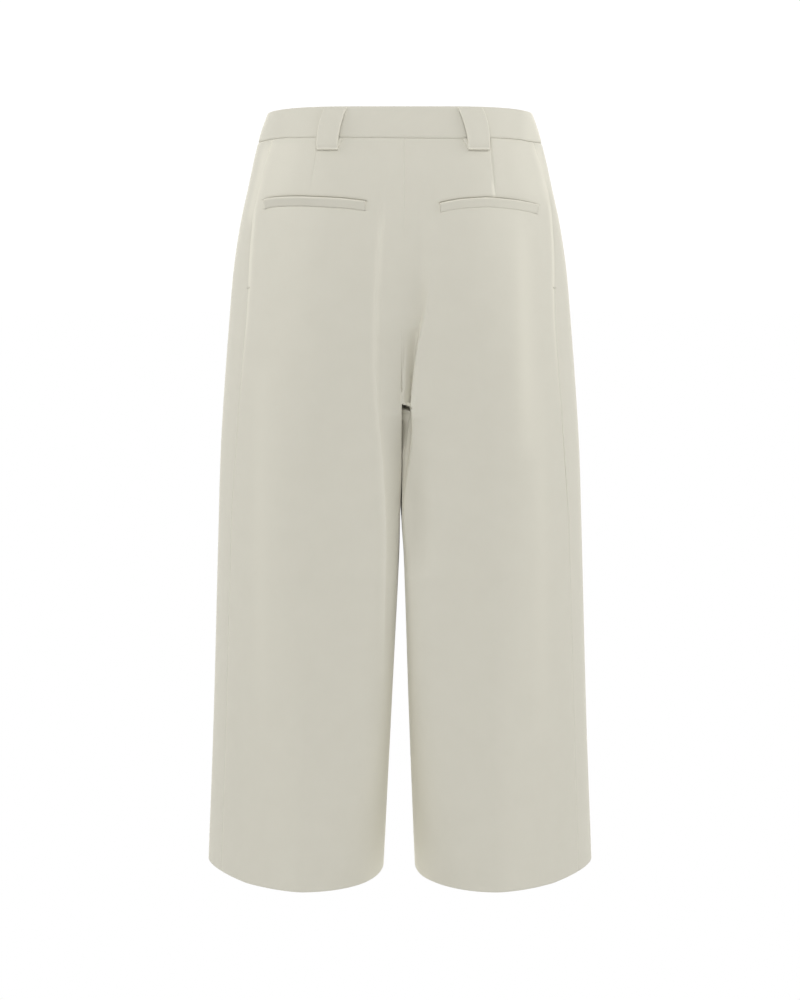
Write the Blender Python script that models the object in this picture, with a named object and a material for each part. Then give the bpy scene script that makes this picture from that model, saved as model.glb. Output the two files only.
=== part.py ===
"""Culottes in a smooth suiting, in the hollow shape they have when worn.

Metres, +Z up. The front faces -Y, and the wearer's left is +X. The origin is the middle of
the waist, at half the height of the waistband.

Each leg is one run of cloth from the seat seam, round the back, the side and the front, to
the front seam. Above the fork that run is half of one ring round the body, and below it is a
whole ring round a leg. A share between the two sets how deep the seat seam lies.
"""

import math

import bmesh
import bpy
import numpy as np

# Cloth and seams
WALL = 0.0016  # a leg panel
SEAM_GAP = 0.0003  # between two pieces that are sewn together
LAY_GAP = 0.0005  # between a panel and what is sewn flat on it

# Heights
BAND_TOP = 0.0155
BAND_BOTTOM = -0.0150
FORK = -0.276  # the underside of the crotch
HEM = -0.760
HEM_LIFT = 0.0040  # how much higher the hem lies at the side seam
HEM_LIFT_START = 0.155  # how far from the middle it starts to lift
HEM_LIFT_RUN = 0.045  # the stretch over which it lifts
HEM_LIFT_TOP = -0.600  # the height at which the lift fades out

# The ring at each height: half its width, how far it reaches behind and before the side
# points, how much further back its middle bows, how far the middle lies off centre, and how
# much further off it lies behind than in front.
BODY_COLUMNS = ("height", "half_width", "back", "front", "bow", "middle", "lean")
BODY = (
    (0.0155, 0.1340, 0.0900, 0.0870, 0.040, -0.0020, 0.0000),
    (-0.0150, 0.1437, 0.0980, 0.0925, 0.038, -0.0040, 0.0000),
    (-0.0600, 0.1540, 0.1090, 0.0980, 0.034, -0.0040, 0.0000),
    (-0.1000, 0.1628, 0.1160, 0.1020, 0.030, -0.0040, 0.0000),
    (-0.1500, 0.1702, 0.1215, 0.1055, 0.022, -0.0035, -0.0005),
    (-0.2000, 0.1746, 0.1235, 0.1075, 0.010, -0.0006, -0.0016),
    (-0.2600, 0.1795, 0.1225, 0.1085, 0.000, 0.0012, -0.0030),
    (-0.3300, 0.1841, 0.1205, 0.1090, 0.000, 0.0010, -0.0034),
    (-0.4000, 0.1867, 0.1198, 0.1093, 0.000, -0.0006, -0.0006),
    (-0.4300, 0.1877, 0.1195, 0.1095, 0.000, -0.0015, 0.0000),
    (-0.6000, 0.1933, 0.1210, 0.1110, 0.000, 0.0000, 0.0000),
    (-0.7600, 0.2000, 0.1255, 0.1150, 0.000, 0.0010, 0.0000),
)

# The run round one leg: where its inner side lies, where it reaches furthest back, how square
# its inner and outer quarters are (2 is an ellipse), how deep its inner quarters round in as
# a share of the ring's depth, how much of that turn the middle seam cuts off, in radians,
# and the share of the way round at which the side seam lies.
LEG_COLUMNS = (
    "height", "inner", "crown", "inner_square", "outer_square",
    "cleft_back", "cleft_front", "cut_off", "side_seam",
)
LEG = (
    (0.0155, 0.0000, 0.0480, 2.80, 2.20, 0.00, 0.00, 0.50, 0.402),
    (-0.0800, 0.0000, 0.0560, 2.80, 2.15, 0.00, 0.00, 0.50, 0.410),
    (-0.1600, 0.0000, 0.0630, 2.80, 2.10, 0.00, 0.00, 0.50, 0.396),
    (-0.2000, 0.0000, 0.0680, 2.80, 2.05, 0.00, 0.04, 0.50, 0.392),
    (-0.2600, 0.0000, 0.0760, 3.20, 2.01, 0.00, 0.14, 0.40, 0.391),
    (-0.2760, 0.0000, 0.0780, 3.60, 2.00, 0.01, 0.18, 0.15, 0.392),
    (-0.3000, 0.0002, 0.0800, 4.00, 1.98, 0.06, 0.21, 0.00, 0.393),
    (-0.3500, 0.0003, 0.0830, 4.00, 1.94, 0.10, 0.23, 0.00, 0.399),
    (-0.3900, 0.0006, 0.0855, 4.00, 1.90, 0.14, 0.26, 0.00, 0.404),
    (-0.4300, 0.0023, 0.0870, 3.80, 1.86, 0.20, 0.31, 0.00, 0.406),
    (-0.6000, 0.0093, 0.0910, 3.20, 1.70, 0.55, 0.62, 0.00, 0.416),
    (-0.7600, 0.0162, 0.0970, 2.10, 1.52, 0.95, 1.00, 0.00, 0.424),
)
CROWN_SHARE = 0.25  # the share of the way round at which the ring reaches furthest back
INNER_SHARE = 0.14  # the share given to the inner wall, up to the panel's own face
INNER_FACE = 0.016  # where the panel's own face starts, from the inner side
SEAM_TWIST = 0.010  # how much further back the left side seam lies at the waist, as a share
SEAM_TWIST_START = -0.240  # the height at which the twist starts
SEAM_TWIST_END = -0.030  # the height at which it is complete

# How the seat seam and the front seam curve in to the fork: the height at which they start,
# how late they turn, and how round the turn is
SEAM_COLUMNS = ("face", "start", "lateness", "roundness")
SEAMS = (
    ("back", -0.080, 14.0, 1.7),
    ("front", -0.120, 9.0, 1.7),
)

# How far the right leg's inner side draws away from the left one, behind, how far behind the
# side points that starts, and the run over which it grows
OPENING_COLUMNS = ("height", "amount", "start", "run")
OPENING = (
    (-0.2745, 0.0000, 0.0985, 0.0120),
    (-0.2775, 0.0104, 0.0985, 0.0120),
    (-0.2850, 0.0102, 0.1010, 0.0100),
    (-0.3000, 0.0082, 0.1045, 0.0075),
    (-0.3200, 0.0054, 0.1060, 0.0055),
    (-0.3400, 0.0030, 0.1065, 0.0045),
    (-0.3640, 0.0006, 0.1070, 0.0035),
    (-0.3700, 0.0000, 0.1070, 0.0035),
)
OPENING_REACH = 0.030  # how far from the middle it is felt

# Soft folds on the panels. A path runs through three heights at x_top, x_middle and x_bottom;
# the reaches are how wide the fold is on the +X and the -X side of its path, push is how far
# it stands out, and a negative push is a trough. The folds behind the left leg come first,
# then the seat, where the right leg's edge stands over a broad hollow, then the right leg.
FOLD_COLUMNS = (
    "face", "top", "bottom", "x_top", "x_middle", "x_bottom", "reach_plus", "reach_minus", "push",
)
FOLDS = (
    ("back", -0.20, -0.62, 0.128, 0.134, 0.142, 0.022, 0.022, 0.0026),
    ("back", -0.30, -0.72, 0.072, 0.078, 0.070, 0.026, 0.026, -0.0016),
    ("back", -0.06, -0.50, 0.016, 0.028, 0.014, 0.012, 0.008, 0.0020),
    ("back", -0.10, -0.36, -0.016, -0.011, 0.004, 0.026, 0.006, -0.0095),
    ("back", -0.07, -0.38, -0.025, -0.022, -0.006, 0.005, 0.016, 0.0022),
    ("back", -0.34, -0.74, -0.080, -0.070, -0.066, 0.026, 0.026, -0.0016),
    ("back", -0.10, -0.62, -0.116, -0.130, -0.138, 0.024, 0.024, 0.0022),
    ("front", -0.12, -0.66, 0.112, 0.122, 0.136, 0.022, 0.026, 0.0036),
    ("front", -0.16, -0.60, 0.030, 0.038, 0.034, 0.009, 0.014, 0.0036),
    ("front", -0.18, -0.38, 0.000, 0.002, 0.002, 0.014, 0.014, -0.0050),
    ("front", -0.17, -0.56, -0.028, -0.034, -0.030, 0.013, 0.008, 0.0036),
    ("front", -0.20, -0.70, 0.074, 0.080, 0.076, 0.018, 0.022, -0.0024),
    ("front", -0.24, -0.74, -0.078, -0.084, -0.074, 0.020, 0.018, -0.0024),
    ("front", -0.16, -0.60, -0.118, -0.128, -0.134, 0.024, 0.020, 0.0036),
)
FOLD_START = 0.055  # how far behind or before the side points the folds start
FOLD_RUN = 0.030  # the stretch over which they grow
FOLD_ENDS = 0.8  # how slowly they die out at their ends
FOLD_SEAM = 0.020  # the stretch beside a middle seam where they move straight back or forth

# Rows down and columns round, which place the panels' facets
ROWS = (
    (-0.0153, 4),
    (-0.100, 6),
    (-0.215, 6),
    (-0.262, 3),
    (-0.276, 2),
    (-0.290, 2),
    (-0.330, 9),
    (-0.760, 0),
)
BACK_COLUMNS = (5, 4, 5)  # inner wall, inner face, outer face
FRONT_COLUMNS = (2, 5, 4, 5)  # side, outer face, inner face, inner wall
CURVE_STEPS = 360  # points that a ring is measured with
SURFACE_STEP = 0.001  # between the heights that a surface's slope is measured with

# Waistband
BAND_WALL = 0.0024
BAND_STEPS = 104
BAND_LAP = 0.030  # how far the right end runs over the left one
BAND_UNDER = 0.004  # how far the left end runs under the right one
BAND_LIFT_RUN = 0.045  # the length over which the right end lifts clear
BAND_SIDE_DIP = 0.0024  # how much lower the top edge is at the sides
BAND_DIP_POWER = 6  # how close to the sides the dip keeps

# Back pockets
WELT_HEIGHT = 0.0091
WELT_WALL = 0.0010
WELT_STEPS = 22
WELT_COLUMNS = ("name", "side", "x_inner", "x_outer", "z_inner", "z_near", "z_middle", "z_far", "z_outer")
WELTS = (
    ("welt_back_left", 1, 0.0335, 0.1337, -0.0767, -0.0739, -0.0726, -0.0718, -0.0745),
    ("welt_back_right", -1, 0.0390, 0.1358, -0.0785, -0.0743, -0.0731, -0.0752, -0.0794),
)

# Belt loops
LOOP_WALL = 0.0018
LOOP_STAND = 0.0036  # the gap for the belt
LOOP_SEWN = 0.06  # the share of its length that is sewn down at each end
LOOP_BEND = 0.6  # how sharply it bends away there
LOOP_ROWS = 9
LOOP_CELLS = 3
LOOP_TOP = 0.0146
LOOP_FOOT = -0.0272
LOOP_CURVE = 1.9  # how early its path turns outwards, going down
LOOP_COLUMNS = ("name", "side", "face", "x_top", "x_foot", "top_width", "foot_width")
LOOPS = (
    ("belt_loop_back_left", 1, "back", 0.0630, 0.0707, 0.0222, 0.0203),
    ("belt_loop_back_right", -1, "back", 0.0684, 0.0766, 0.0246, 0.0203),
    ("belt_loop_front_left", 1, "front", 0.0700, 0.0760, 0.0230, 0.0204),
    ("belt_loop_front_right", -1, "front", 0.0700, 0.0760, 0.0230, 0.0204),
)

# Fly
ZIP_TOP = -0.0165
ZIP_BOTTOM = -0.1580
ZIP_GAP = 0.0007  # between the tape and the panels it is sewn to
ZIP_HALF = 0.0130
ZIP_TAPE = 0.0007
ZIP_MIDDLE = 0.0080  # a column of points between the chain and the tape's edge
ZIP_CHAIN_HALF = 0.0026
ZIP_CHAIN_EDGE = 0.0004  # the slope at the chain's side
ZIP_CHAIN = 0.0016  # how far the chain stands above the tape
ZIP_ROWS = 12
SLIDER_WIDTH = 0.0086
SLIDER_LENGTH = 0.0110
SLIDER_PLATE = 0.0011
SLIDER_TOP = -0.0190
SLIDER_COLUMNS = ("down", "wide")  # shares of its length and of its width
SLIDER_SHAPE = (
    (0.00, 0.62),
    (0.25, 1.00),
    (0.60, 0.92),
    (1.00, 0.66),
)

# Button
BUTTON_RADIUS = 0.0075
BUTTON_THICKNESS = 0.0028
BUTTON_RIM = 0.0013
BUTTON_DISH = 0.0006
BUTTON_HOLE = 0.0009
BUTTON_HOLE_RING = 0.0021
BUTTON_HOLES = 4
BUTTON_HOLE_SIDES = 12
BUTTON_SIDES = 32
BUTTON_X = 0.0165

# Finishes
CLOTH = (0.625, 0.600, 0.520, 1.0)
CLOTH_ROUGHNESS = 0.85
HORN = (0.560, 0.525, 0.440, 1.0)
TAPE = (0.560, 0.540, 0.470, 1.0)
METAL = (0.600, 0.585, 0.540, 1.0)


def clear_scene():
    for thing in list(bpy.data.objects):
        bpy.data.objects.remove(thing, do_unlink=True)


def material(name, colour, roughness, metallic=0.0):
    made = bpy.data.materials.new(name)
    made.use_nodes = True
    shader = made.node_tree.nodes["Principled BSDF"]
    shader.inputs["Base Color"].default_value = colour
    shader.inputs["Roughness"].default_value = roughness
    shader.inputs["Metallic"].default_value = metallic
    return made


def smooth_curve(xs, ys, at):
    """A curve through the points that never swings past them; xs rise."""
    xs = np.asarray(xs, float)
    ys = np.asarray(ys, float)
    at = np.clip(np.asarray(at, float), xs[0], xs[-1])
    step = np.diff(xs)
    slope = np.diff(ys) / step
    tangent = np.zeros(len(xs))
    tangent[0] = slope[0]
    tangent[-1] = slope[-1]
    for i in range(1, len(xs) - 1):
        if slope[i - 1] * slope[i] > 0:
            wide = 2 * step[i] + step[i - 1]
            narrow = step[i] + 2 * step[i - 1]
            tangent[i] = (wide + narrow) / (wide / slope[i - 1] + narrow / slope[i])
    cell = np.clip(np.searchsorted(xs, at, side="right") - 1, 0, len(step) - 1)
    part = (at - xs[cell]) / step[cell]
    start = (1 + 2 * part) * (1 - part) ** 2 * ys[cell]
    end = part**2 * (3 - 2 * part) * ys[cell + 1]
    leave = part * (1 - part) ** 2 * step[cell] * tangent[cell]
    arrive = part**2 * (part - 1) * step[cell] * tangent[cell + 1]
    return start + end + leave + arrive


def ramp(x, start, end):
    """0 before start, 1 after end, and smooth between them."""
    part = np.clip((x - start) / (end - start), 0, 1)
    return part * part * (3 - 2 * part)


def named(columns, rows):
    """The rows of a table as dictionaries."""
    return [dict(zip(columns, row)) for row in rows]


def read(table, columns, name, height):
    """The value of a named column at a height."""
    rows = sorted(table, key=lambda row: row[0])
    picked = columns.index(name)
    return smooth_curve([row[0] for row in rows], [row[picked] for row in rows], height)


def body(name, height):
    return read(BODY, BODY_COLUMNS, name, height)


def leg(name, height):
    return read(LEG, LEG_COLUMNS, name, height)


def along(points, shares):
    """Points at the given shares of a polyline's length."""
    runs = np.linalg.norm(np.diff(points, axis=0), axis=1)
    travelled = np.concatenate([[0.0], np.cumsum(runs)])
    travelled /= travelled[-1]
    return np.column_stack([np.interp(shares, travelled, points[:, i]) for i in range(2)])


def seam_depth(height, face):
    """How far out the middle seam lies, as a share of the ring's depth: 0 from the fork down."""
    seam = next(row for row in named(SEAM_COLUMNS, SEAMS) if row["face"] == face)
    part = min(max((seam["start"] - height) / (seam["start"] - FORK), 0.0), 1.0)
    return (1 - part ** seam["lateness"]) ** (1 / seam["roundness"])


def quarter(height, face, shares):
    """From the middle or inner seam to the side point, with y growing outwards."""
    turn = np.linspace(0, math.pi / 2, CURVE_STEPS)
    inner = leg("inner", height)
    crown = leg("crown", height)
    width = body("half_width", height)
    depth = body(face, height)
    inner_bend = 2 / leg("inner_square", height)
    outer_bend = 2 / leg("outer_square", height)
    cut_off = leg("cut_off", height)
    inner_turn = np.linspace(cut_off, math.pi / 2, CURVE_STEPS)
    reach = (crown - inner) / np.cos(cut_off) ** inner_bend
    round_in = depth * leg("cleft_" + face, height)
    inwards = np.column_stack(
        [
            crown - reach * np.cos(inner_turn) ** inner_bend,
            depth - round_in * (1 - np.sin(inner_turn) ** inner_bend),
        ]
    )
    seam = min(inwards[0, 1], depth * seam_depth(height, face))
    inwards = np.vstack([[inner, seam], inwards])
    outwards = np.column_stack(
        [
            crown + (width - crown) * np.sin(turn) ** outer_bend,
            depth * np.cos(turn) ** outer_bend,
        ]
    )
    crown_at = 2 * CROWN_SHARE
    face_at = 2 * INNER_SHARE
    edge = np.searchsorted(inwards[:, 0], inner + INNER_FACE)
    part = np.clip(shares / face_at, 0, 1)
    wall = along(inwards[: edge + 1], 1 - (1 - part) ** 2)
    near = along(inwards[edge:], np.clip((shares - face_at) / (crown_at - face_at), 0, 1))
    far = along(outwards, np.clip((shares - crown_at) / (1 - crown_at), 0, 1))
    run = np.where((shares < face_at)[:, None], wall, near)
    run = np.where((shares < crown_at)[:, None], run, far)
    run[:, 1] *= 1 + body("bow", height) * (1 - (run[:, 0] / width) ** 2)
    return run


def half_ring(height, side, shares):
    """The run of one leg at a height: share 0 at the seat seam, 0.5 at the side, 1 in front."""
    behind = quarter(height, "back", np.minimum(2 * shares, 1.0))
    before = quarter(height, "front", np.minimum(2 * (1 - shares), 1.0))
    before[:, 1] *= -1
    ring = np.where((shares <= 0.5)[:, None], behind, before)
    width = body("half_width", height)
    shift = body("middle", height) + body("lean", height) * ring[:, 1] / body("back", height)
    shift = shift * np.clip(1 - ring[:, 0] / width, 0, 1) ** 2
    if side < 0:
        amount, start, run = (read(OPENING, OPENING_COLUMNS, name, height) for name in OPENING_COLUMNS[1:])
        opened = amount * np.clip((ring[:, 1] - start) / run, 0, 1)
        ring[:, 0] += opened * np.exp(-((ring[:, 0] / OPENING_REACH) ** 2))
    ring[:, 0] = side * (ring[:, 0] + SEAM_GAP / 2) + shift
    return ring


def normals(grid, side):
    down = np.gradient(grid, axis=0)
    around = np.gradient(grid, axis=1)
    facing = np.cross(around, down) * side
    return facing / np.linalg.norm(facing, axis=2, keepdims=True)


def folded(grid, side):
    """The grid with the folds raised on it."""
    x, y, z = (grid[..., i] for i in range(3))
    grown = np.clip((np.abs(y) - FOLD_START) / FOLD_RUN, 0, 1)
    push = np.zeros(x.shape)
    for fold in named(FOLD_COLUMNS, FOLDS):
        on_face = y > 0 if fold["face"] == "back" else y < 0
        part = np.clip((fold["top"] - z) / (fold["top"] - fold["bottom"]), 0, 1)
        path = smooth_curve([0, 0.5, 1], [fold["x_top"], fold["x_middle"], fold["x_bottom"]], part)
        reach = np.where(x > path, fold["reach_plus"], fold["reach_minus"])
        fade = np.sin(math.pi * part) ** FOLD_ENDS * grown * on_face
        push += fold["push"] * fade * np.exp(-(((x - path) / reach) ** 2))
    seam = body("middle", z) + body("lean", z) * y / body("back", z)
    free = np.clip(np.abs(x - seam) / FOLD_SEAM, 0, 1)[..., None]
    straight = np.stack([np.zeros(y.shape), np.sign(y), np.zeros(y.shape)], axis=2)
    way = free * normals(grid, side) + (1 - free) * straight
    return grid + way * push[..., None]


def row_heights():
    heights = []
    for (top, cells), (bottom, _) in zip(ROWS[:-1], ROWS[1:]):
        heights.extend(np.linspace(top, bottom, cells, endpoint=False))
    return np.array(heights + [ROWS[-1][0]])


def panel_shares(height, side):
    """The columns of one leg: the back panel's, then the front panel's."""
    twist = SEAM_TWIST * ramp(height, SEAM_TWIST_START, SEAM_TWIST_END)
    seam = float(leg("side_seam", height) - side * twist)
    stops = (0, INNER_SHARE, CROWN_SHARE, seam, 0.5, 1 - CROWN_SHARE, 1 - INNER_SHARE, 1)
    shares = []
    for start, end, cells in zip(stops, stops[1:], BACK_COLUMNS + FRONT_COLUMNS):
        shares.extend(np.linspace(start, end, cells, endpoint=False))
    return np.array(shares + [1.0])


def leg_grid(side, heights, shares_at):
    rows = []
    for height in heights:
        shares = shares_at(height)
        ring = half_ring(height, side, shares)
        lift = HEM_LIFT * np.clip((np.abs(ring[:, 0]) - HEM_LIFT_START) / HEM_LIFT_RUN, 0, 1)
        lift *= np.clip((height - HEM_LIFT_TOP) / (HEM - HEM_LIFT_TOP), 0, 1) ** 2
        rows.append(np.column_stack([ring, height + lift]))
    return folded(np.array(rows), side)


def mesh_object(name, points, faces, finish):
    mesh = bpy.data.meshes.new(name)
    mesh.from_pydata([tuple(point) for point in points], [], faces)
    work = bmesh.new()
    work.from_mesh(mesh)
    bmesh.ops.recalc_face_normals(work, faces=work.faces)
    bmesh.ops.triangulate(work, faces=work.faces)
    work.to_mesh(mesh)
    work.free()
    mesh.shade_smooth()
    mesh.set_sharp_from_angle(angle=math.radians(35))
    mesh.materials.append(finish)
    made = bpy.data.objects.new(name, mesh)
    bpy.context.scene.collection.objects.link(made)
    return made


def walled(name, outer, inner, finish):
    """A closed wall between two grids of the same shape."""
    rows, columns = outer.shape[:2]
    count = rows * columns
    points = np.concatenate([outer.reshape(-1, 3), inner.reshape(-1, 3)])
    faces = []
    for row in range(rows - 1):
        for column in range(columns - 1):
            a = row * columns + column
            b = a + 1
            c = a + columns + 1
            d = a + columns
            faces.append((a, b, c, d))
            faces.append((a + count, d + count, c + count, b + count))
    edge = list(range(columns))
    edge += [row * columns + columns - 1 for row in range(1, rows)]
    edge += [(rows - 1) * columns + column for column in range(columns - 2, -1, -1)]
    edge += [row * columns for row in range(rows - 2, 0, -1)]
    for a, b in zip(edge, edge[1:] + edge[:1]):
        faces.append((a, a + count, b + count, b))
    return mesh_object(name, points, faces, finish)


def leg_panels(side, word, finish):
    """The back and front panel of one leg, cut apart at the side seam."""
    outer = leg_grid(side, row_heights(), lambda height: panel_shares(height, side))
    inner = outer - normals(outer, side) * WALL
    below = row_heights() < FORK + SEAM_GAP
    for sheet in (outer, inner):
        sheet[below, 0, 1] += SEAM_GAP / 2
        sheet[below, -1, 1] -= SEAM_GAP / 2
    seam = sum(BACK_COLUMNS)
    step = outer[:, seam + 1] - outer[:, seam - 1]
    step *= SEAM_GAP / 2 / np.linalg.norm(step, axis=1, keepdims=True)
    for name, columns, edge, way in (
        ("back_", slice(0, seam + 1), -1, -1),
        ("front_", slice(seam, None), 0, 1),
    ):
        sheets = [sheet[:, columns].copy() for sheet in (outer, inner)]
        for sheet in sheets:
            sheet[:, edge] += way * step
        walled(name + word, sheets[0], sheets[1], finish)


def surface_point(x, height, side, face, out):
    """The point over a leg panel or the waistband at a distance x from the middle."""
    shares = np.linspace(0, 0.5, CURVE_STEPS // 2) + (0.0 if face == "back" else 0.5)
    near = np.array([height + SURFACE_STEP, height, height - SURFACE_STEP])
    grid = leg_grid(side, near, lambda _: shares)
    facing = normals(grid, side)[1]
    line = grid[1]
    order = np.argsort(side * line[:, 0])
    spot = [np.interp(x, side * line[order, 0], line[order, i]) for i in range(3)]
    way = np.array([np.interp(x, side * line[order, 0], facing[order, i]) for i in range(3)])
    return np.array(spot) + way / np.linalg.norm(way) * out


def band_line(height, shares):
    """Along the band: from under the lap, round the left side, the back and the right side."""
    left = half_ring(height, 1, np.linspace(1, 0, CURVE_STEPS))
    right = half_ring(height, -1, np.linspace(0, 1, CURVE_STEPS))
    whole = np.vstack([left, right, left[:1]])
    runs = np.linalg.norm(np.diff(whole, axis=0), axis=1)
    travelled = np.concatenate([[0.0], np.cumsum(runs)])
    length = travelled[-1]
    at = -BAND_UNDER + shares * (length + BAND_LAP + BAND_UNDER)
    spots = np.mod(at, length)
    return np.column_stack([np.interp(spots, travelled, whole[:, i]) for i in range(2)]), at - length


def band_grid(heights, shares, out):
    """The waistband's surface, moved out; its right end lifts over the left one."""
    grid = []
    for height in heights:
        line, past_front = band_line(height, shares)
        way = np.gradient(line, axis=0)
        facing = np.column_stack([way[:, 1], -way[:, 0]])
        facing /= np.linalg.norm(facing, axis=1, keepdims=True)
        lift = (BAND_WALL + SEAM_GAP) * ramp(past_front, -BAND_UNDER - BAND_LIFT_RUN, -BAND_UNDER)
        line = line + facing * (lift + out)[:, None]
        across = np.abs(line[:, 0]) / body("half_width", BAND_TOP)
        top = np.clip((height - BAND_BOTTOM) / (BAND_TOP - BAND_BOTTOM), 0, 1)
        level = height - BAND_SIDE_DIP * top * np.clip(across, 0, 1) ** BAND_DIP_POWER
        grid.append(np.column_stack([line, level]))
    return np.array(grid)


def waistband(finish):
    shares = np.linspace(0, 1, BAND_STEPS + 1)
    heights = np.array([BAND_TOP, BAND_BOTTOM])
    outer = band_grid(heights, shares, 0.0)
    inner = band_grid(heights, shares, -BAND_WALL)
    walled("waistband", outer, inner, finish)


def welt(row, finish):
    """A flat strip along a pocket slit, which follows the back panel."""
    part = np.linspace(0, 1, WELT_STEPS + 1)
    across = row["x_inner"] + (row["x_outer"] - row["x_inner"]) * part
    levels = [row["z_" + place] for place in ("inner", "near", "middle", "far", "outer")]
    arch = smooth_curve(np.linspace(0, 1, len(levels)), levels, part)
    sheets = []
    for out in (LAY_GAP + WELT_WALL, LAY_GAP):
        sheet = [
            [surface_point(x, z - drop, row["side"], "back", out) for x, z in zip(across, arch)]
            for drop in (0, WELT_HEIGHT / 2, WELT_HEIGHT)
        ]
        sheets.append(np.array(sheet))
    walled(row["name"], sheets[0], sheets[1], finish)


def loop_rise(part):
    """How far a belt loop stands off, from its top at 0 to its foot at 1."""
    free = np.clip((part - LOOP_SEWN) / (1 - 2 * LOOP_SEWN), 0, 1)
    return LOOP_STAND * max(math.sin(math.pi * free), 0.0) ** LOOP_BEND


def belt_loop(row, finish):
    """A strip sewn down at both ends, with room for a belt behind it."""
    down = np.concatenate([[0], np.linspace(LOOP_SEWN, 1 - LOOP_SEWN, LOOP_ROWS), [1]])
    sheets = []
    for thick in (LOOP_WALL, 0.0):
        sheet = []
        for part in down:
            height = LOOP_TOP + (LOOP_FOOT - LOOP_TOP) * part
            centre = row["x_top"] + (row["x_foot"] - row["x_top"]) * (1 - (1 - part) ** LOOP_CURVE)
            half = (row["top_width"] + (row["foot_width"] - row["top_width"]) * part) / 2
            out = LAY_GAP + thick + float(loop_rise(part))
            line = [
                surface_point(centre + across, height, row["side"], row["face"], out)
                for across in np.linspace(-half, half, LOOP_CELLS + 1)
            ]
            sheet.append(line)
        sheets.append(np.array(sheet))
    walled(row["name"], sheets[0], sheets[1], finish)


def fly_zip(finish):
    """The tape inside the front opening, with the chain raised along its middle."""
    half = (ZIP_CHAIN_HALF, ZIP_CHAIN_HALF + ZIP_CHAIN_EDGE, ZIP_MIDDLE, ZIP_HALF)
    across = [-x for x in reversed(half)] + list(half)
    heights = np.linspace(ZIP_TOP, ZIP_BOTTOM, ZIP_ROWS + 1)
    outer = []
    inner = []
    for height in heights:
        near = []
        far = []
        for x in across:
            side = 1 if x > 0 else -1
            on_chain = abs(x) <= ZIP_CHAIN_HALF
            depth = WALL + ZIP_GAP
            near.append(surface_point(abs(x), height, side, "front", -depth))
            depth += ZIP_TAPE + (ZIP_CHAIN if on_chain else 0.0)
            far.append(surface_point(abs(x), height, side, "front", -depth))
        outer.append(near)
        inner.append(far)
    walled("fly_zip", np.array(outer), np.array(inner), finish)


def zip_slider(finish):
    """The slider's back plate, closed over the top of the chain."""
    depth = WALL + ZIP_GAP + ZIP_TAPE + ZIP_CHAIN + SEAM_GAP
    sheets = []
    for extra in (0.0, SLIDER_PLATE):
        sheet = []
        for place in named(SLIDER_COLUMNS, SLIDER_SHAPE):
            height = SLIDER_TOP - SLIDER_LENGTH * place["down"]
            half = SLIDER_WIDTH / 2 * place["wide"]
            row = []
            for x in (-half, -half / 2, half / 2, half):
                side = 1 if x > 0 else -1
                row.append(surface_point(abs(x), height, side, "front", -depth - extra))
            sheet.append(row)
        sheets.append(np.array(sheet))
    walled("zip_slider", sheets[0], sheets[1], finish)


def waist_button(finish):
    """A dished four-hole button on the lapped end of the waistband."""
    profile = (
        (0.0, BUTTON_THICKNESS - BUTTON_DISH),
        (BUTTON_RADIUS - 2 * BUTTON_RIM, BUTTON_THICKNESS - BUTTON_DISH),
        (BUTTON_RADIUS - BUTTON_RIM, BUTTON_THICKNESS),
        (BUTTON_RADIUS - BUTTON_RIM / 3, BUTTON_THICKNESS - BUTTON_RIM / 4),
        (BUTTON_RADIUS, BUTTON_THICKNESS * 0.55),
        (BUTTON_RADIUS - BUTTON_RIM / 2, BUTTON_RIM / 4),
        (BUTTON_RADIUS - BUTTON_RIM, 0.0),
        (0.0, 0.0),
    )
    work = bmesh.new()
    line = [work.verts.new((radius, 0, height)) for radius, height in profile]
    edges = [work.edges.new(pair) for pair in zip(line, line[1:])]
    bmesh.ops.spin(
        work, geom=line + edges, cent=(0, 0, 0), axis=(0, 0, 1),
        angle=2 * math.pi, steps=BUTTON_SIDES, use_merge=True,
    )
    bmesh.ops.remove_doubles(work, verts=work.verts, dist=1e-6)
    bmesh.ops.recalc_face_normals(work, faces=work.faces)
    mesh = bpy.data.meshes.new("waist_button")
    work.to_mesh(mesh)
    work.free()
    mesh.shade_smooth()
    mesh.set_sharp_from_angle(angle=math.radians(40))
    mesh.materials.append(finish)
    button = bpy.data.objects.new("waist_button", mesh)
    bpy.context.scene.collection.objects.link(button)
    middle = (BAND_TOP + BAND_BOTTOM) / 2
    lapped = BAND_WALL + SEAM_GAP
    upper = surface_point(BUTTON_X, middle + BUTTON_RADIUS, 1, "front", lapped)
    lower = surface_point(BUTTON_X, middle - BUTTON_RADIUS, 1, "front", lapped)
    tilt = math.atan2(upper[1] - lower[1], upper[2] - lower[2])
    centre = surface_point(BUTTON_X, middle, 1, "front", lapped + LAY_GAP)
    button.location = centre
    button.rotation_euler = (math.pi / 2 - tilt, 0, 0)
    for number in range(BUTTON_HOLES):
        angle = 2 * math.pi * (number + 0.5) / BUTTON_HOLES
        drill = cutter(f"button_hole_{number}", BUTTON_HOLE, 3 * BUTTON_THICKNESS)
        drill.parent = button
        drill.location = (
            BUTTON_HOLE_RING * math.cos(angle),
            BUTTON_HOLE_RING * math.sin(angle),
            BUTTON_THICKNESS / 2,
        )
        cut = button.modifiers.new(f"hole_{number}", "BOOLEAN")
        cut.operation = "DIFFERENCE"
        cut.object = drill


def cutter(name, radius, length):
    work = bmesh.new()
    bmesh.ops.create_cone(
        work, cap_ends=True, segments=BUTTON_HOLE_SIDES,
        radius1=radius, radius2=radius, depth=length,
    )
    mesh = bpy.data.meshes.new(name)
    work.to_mesh(mesh)
    work.free()
    drill = bpy.data.objects.new(name, mesh)
    bpy.context.scene.collection.objects.link(drill)
    drill.hide_render = True
    drill.display_type = "WIRE"
    return drill


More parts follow.
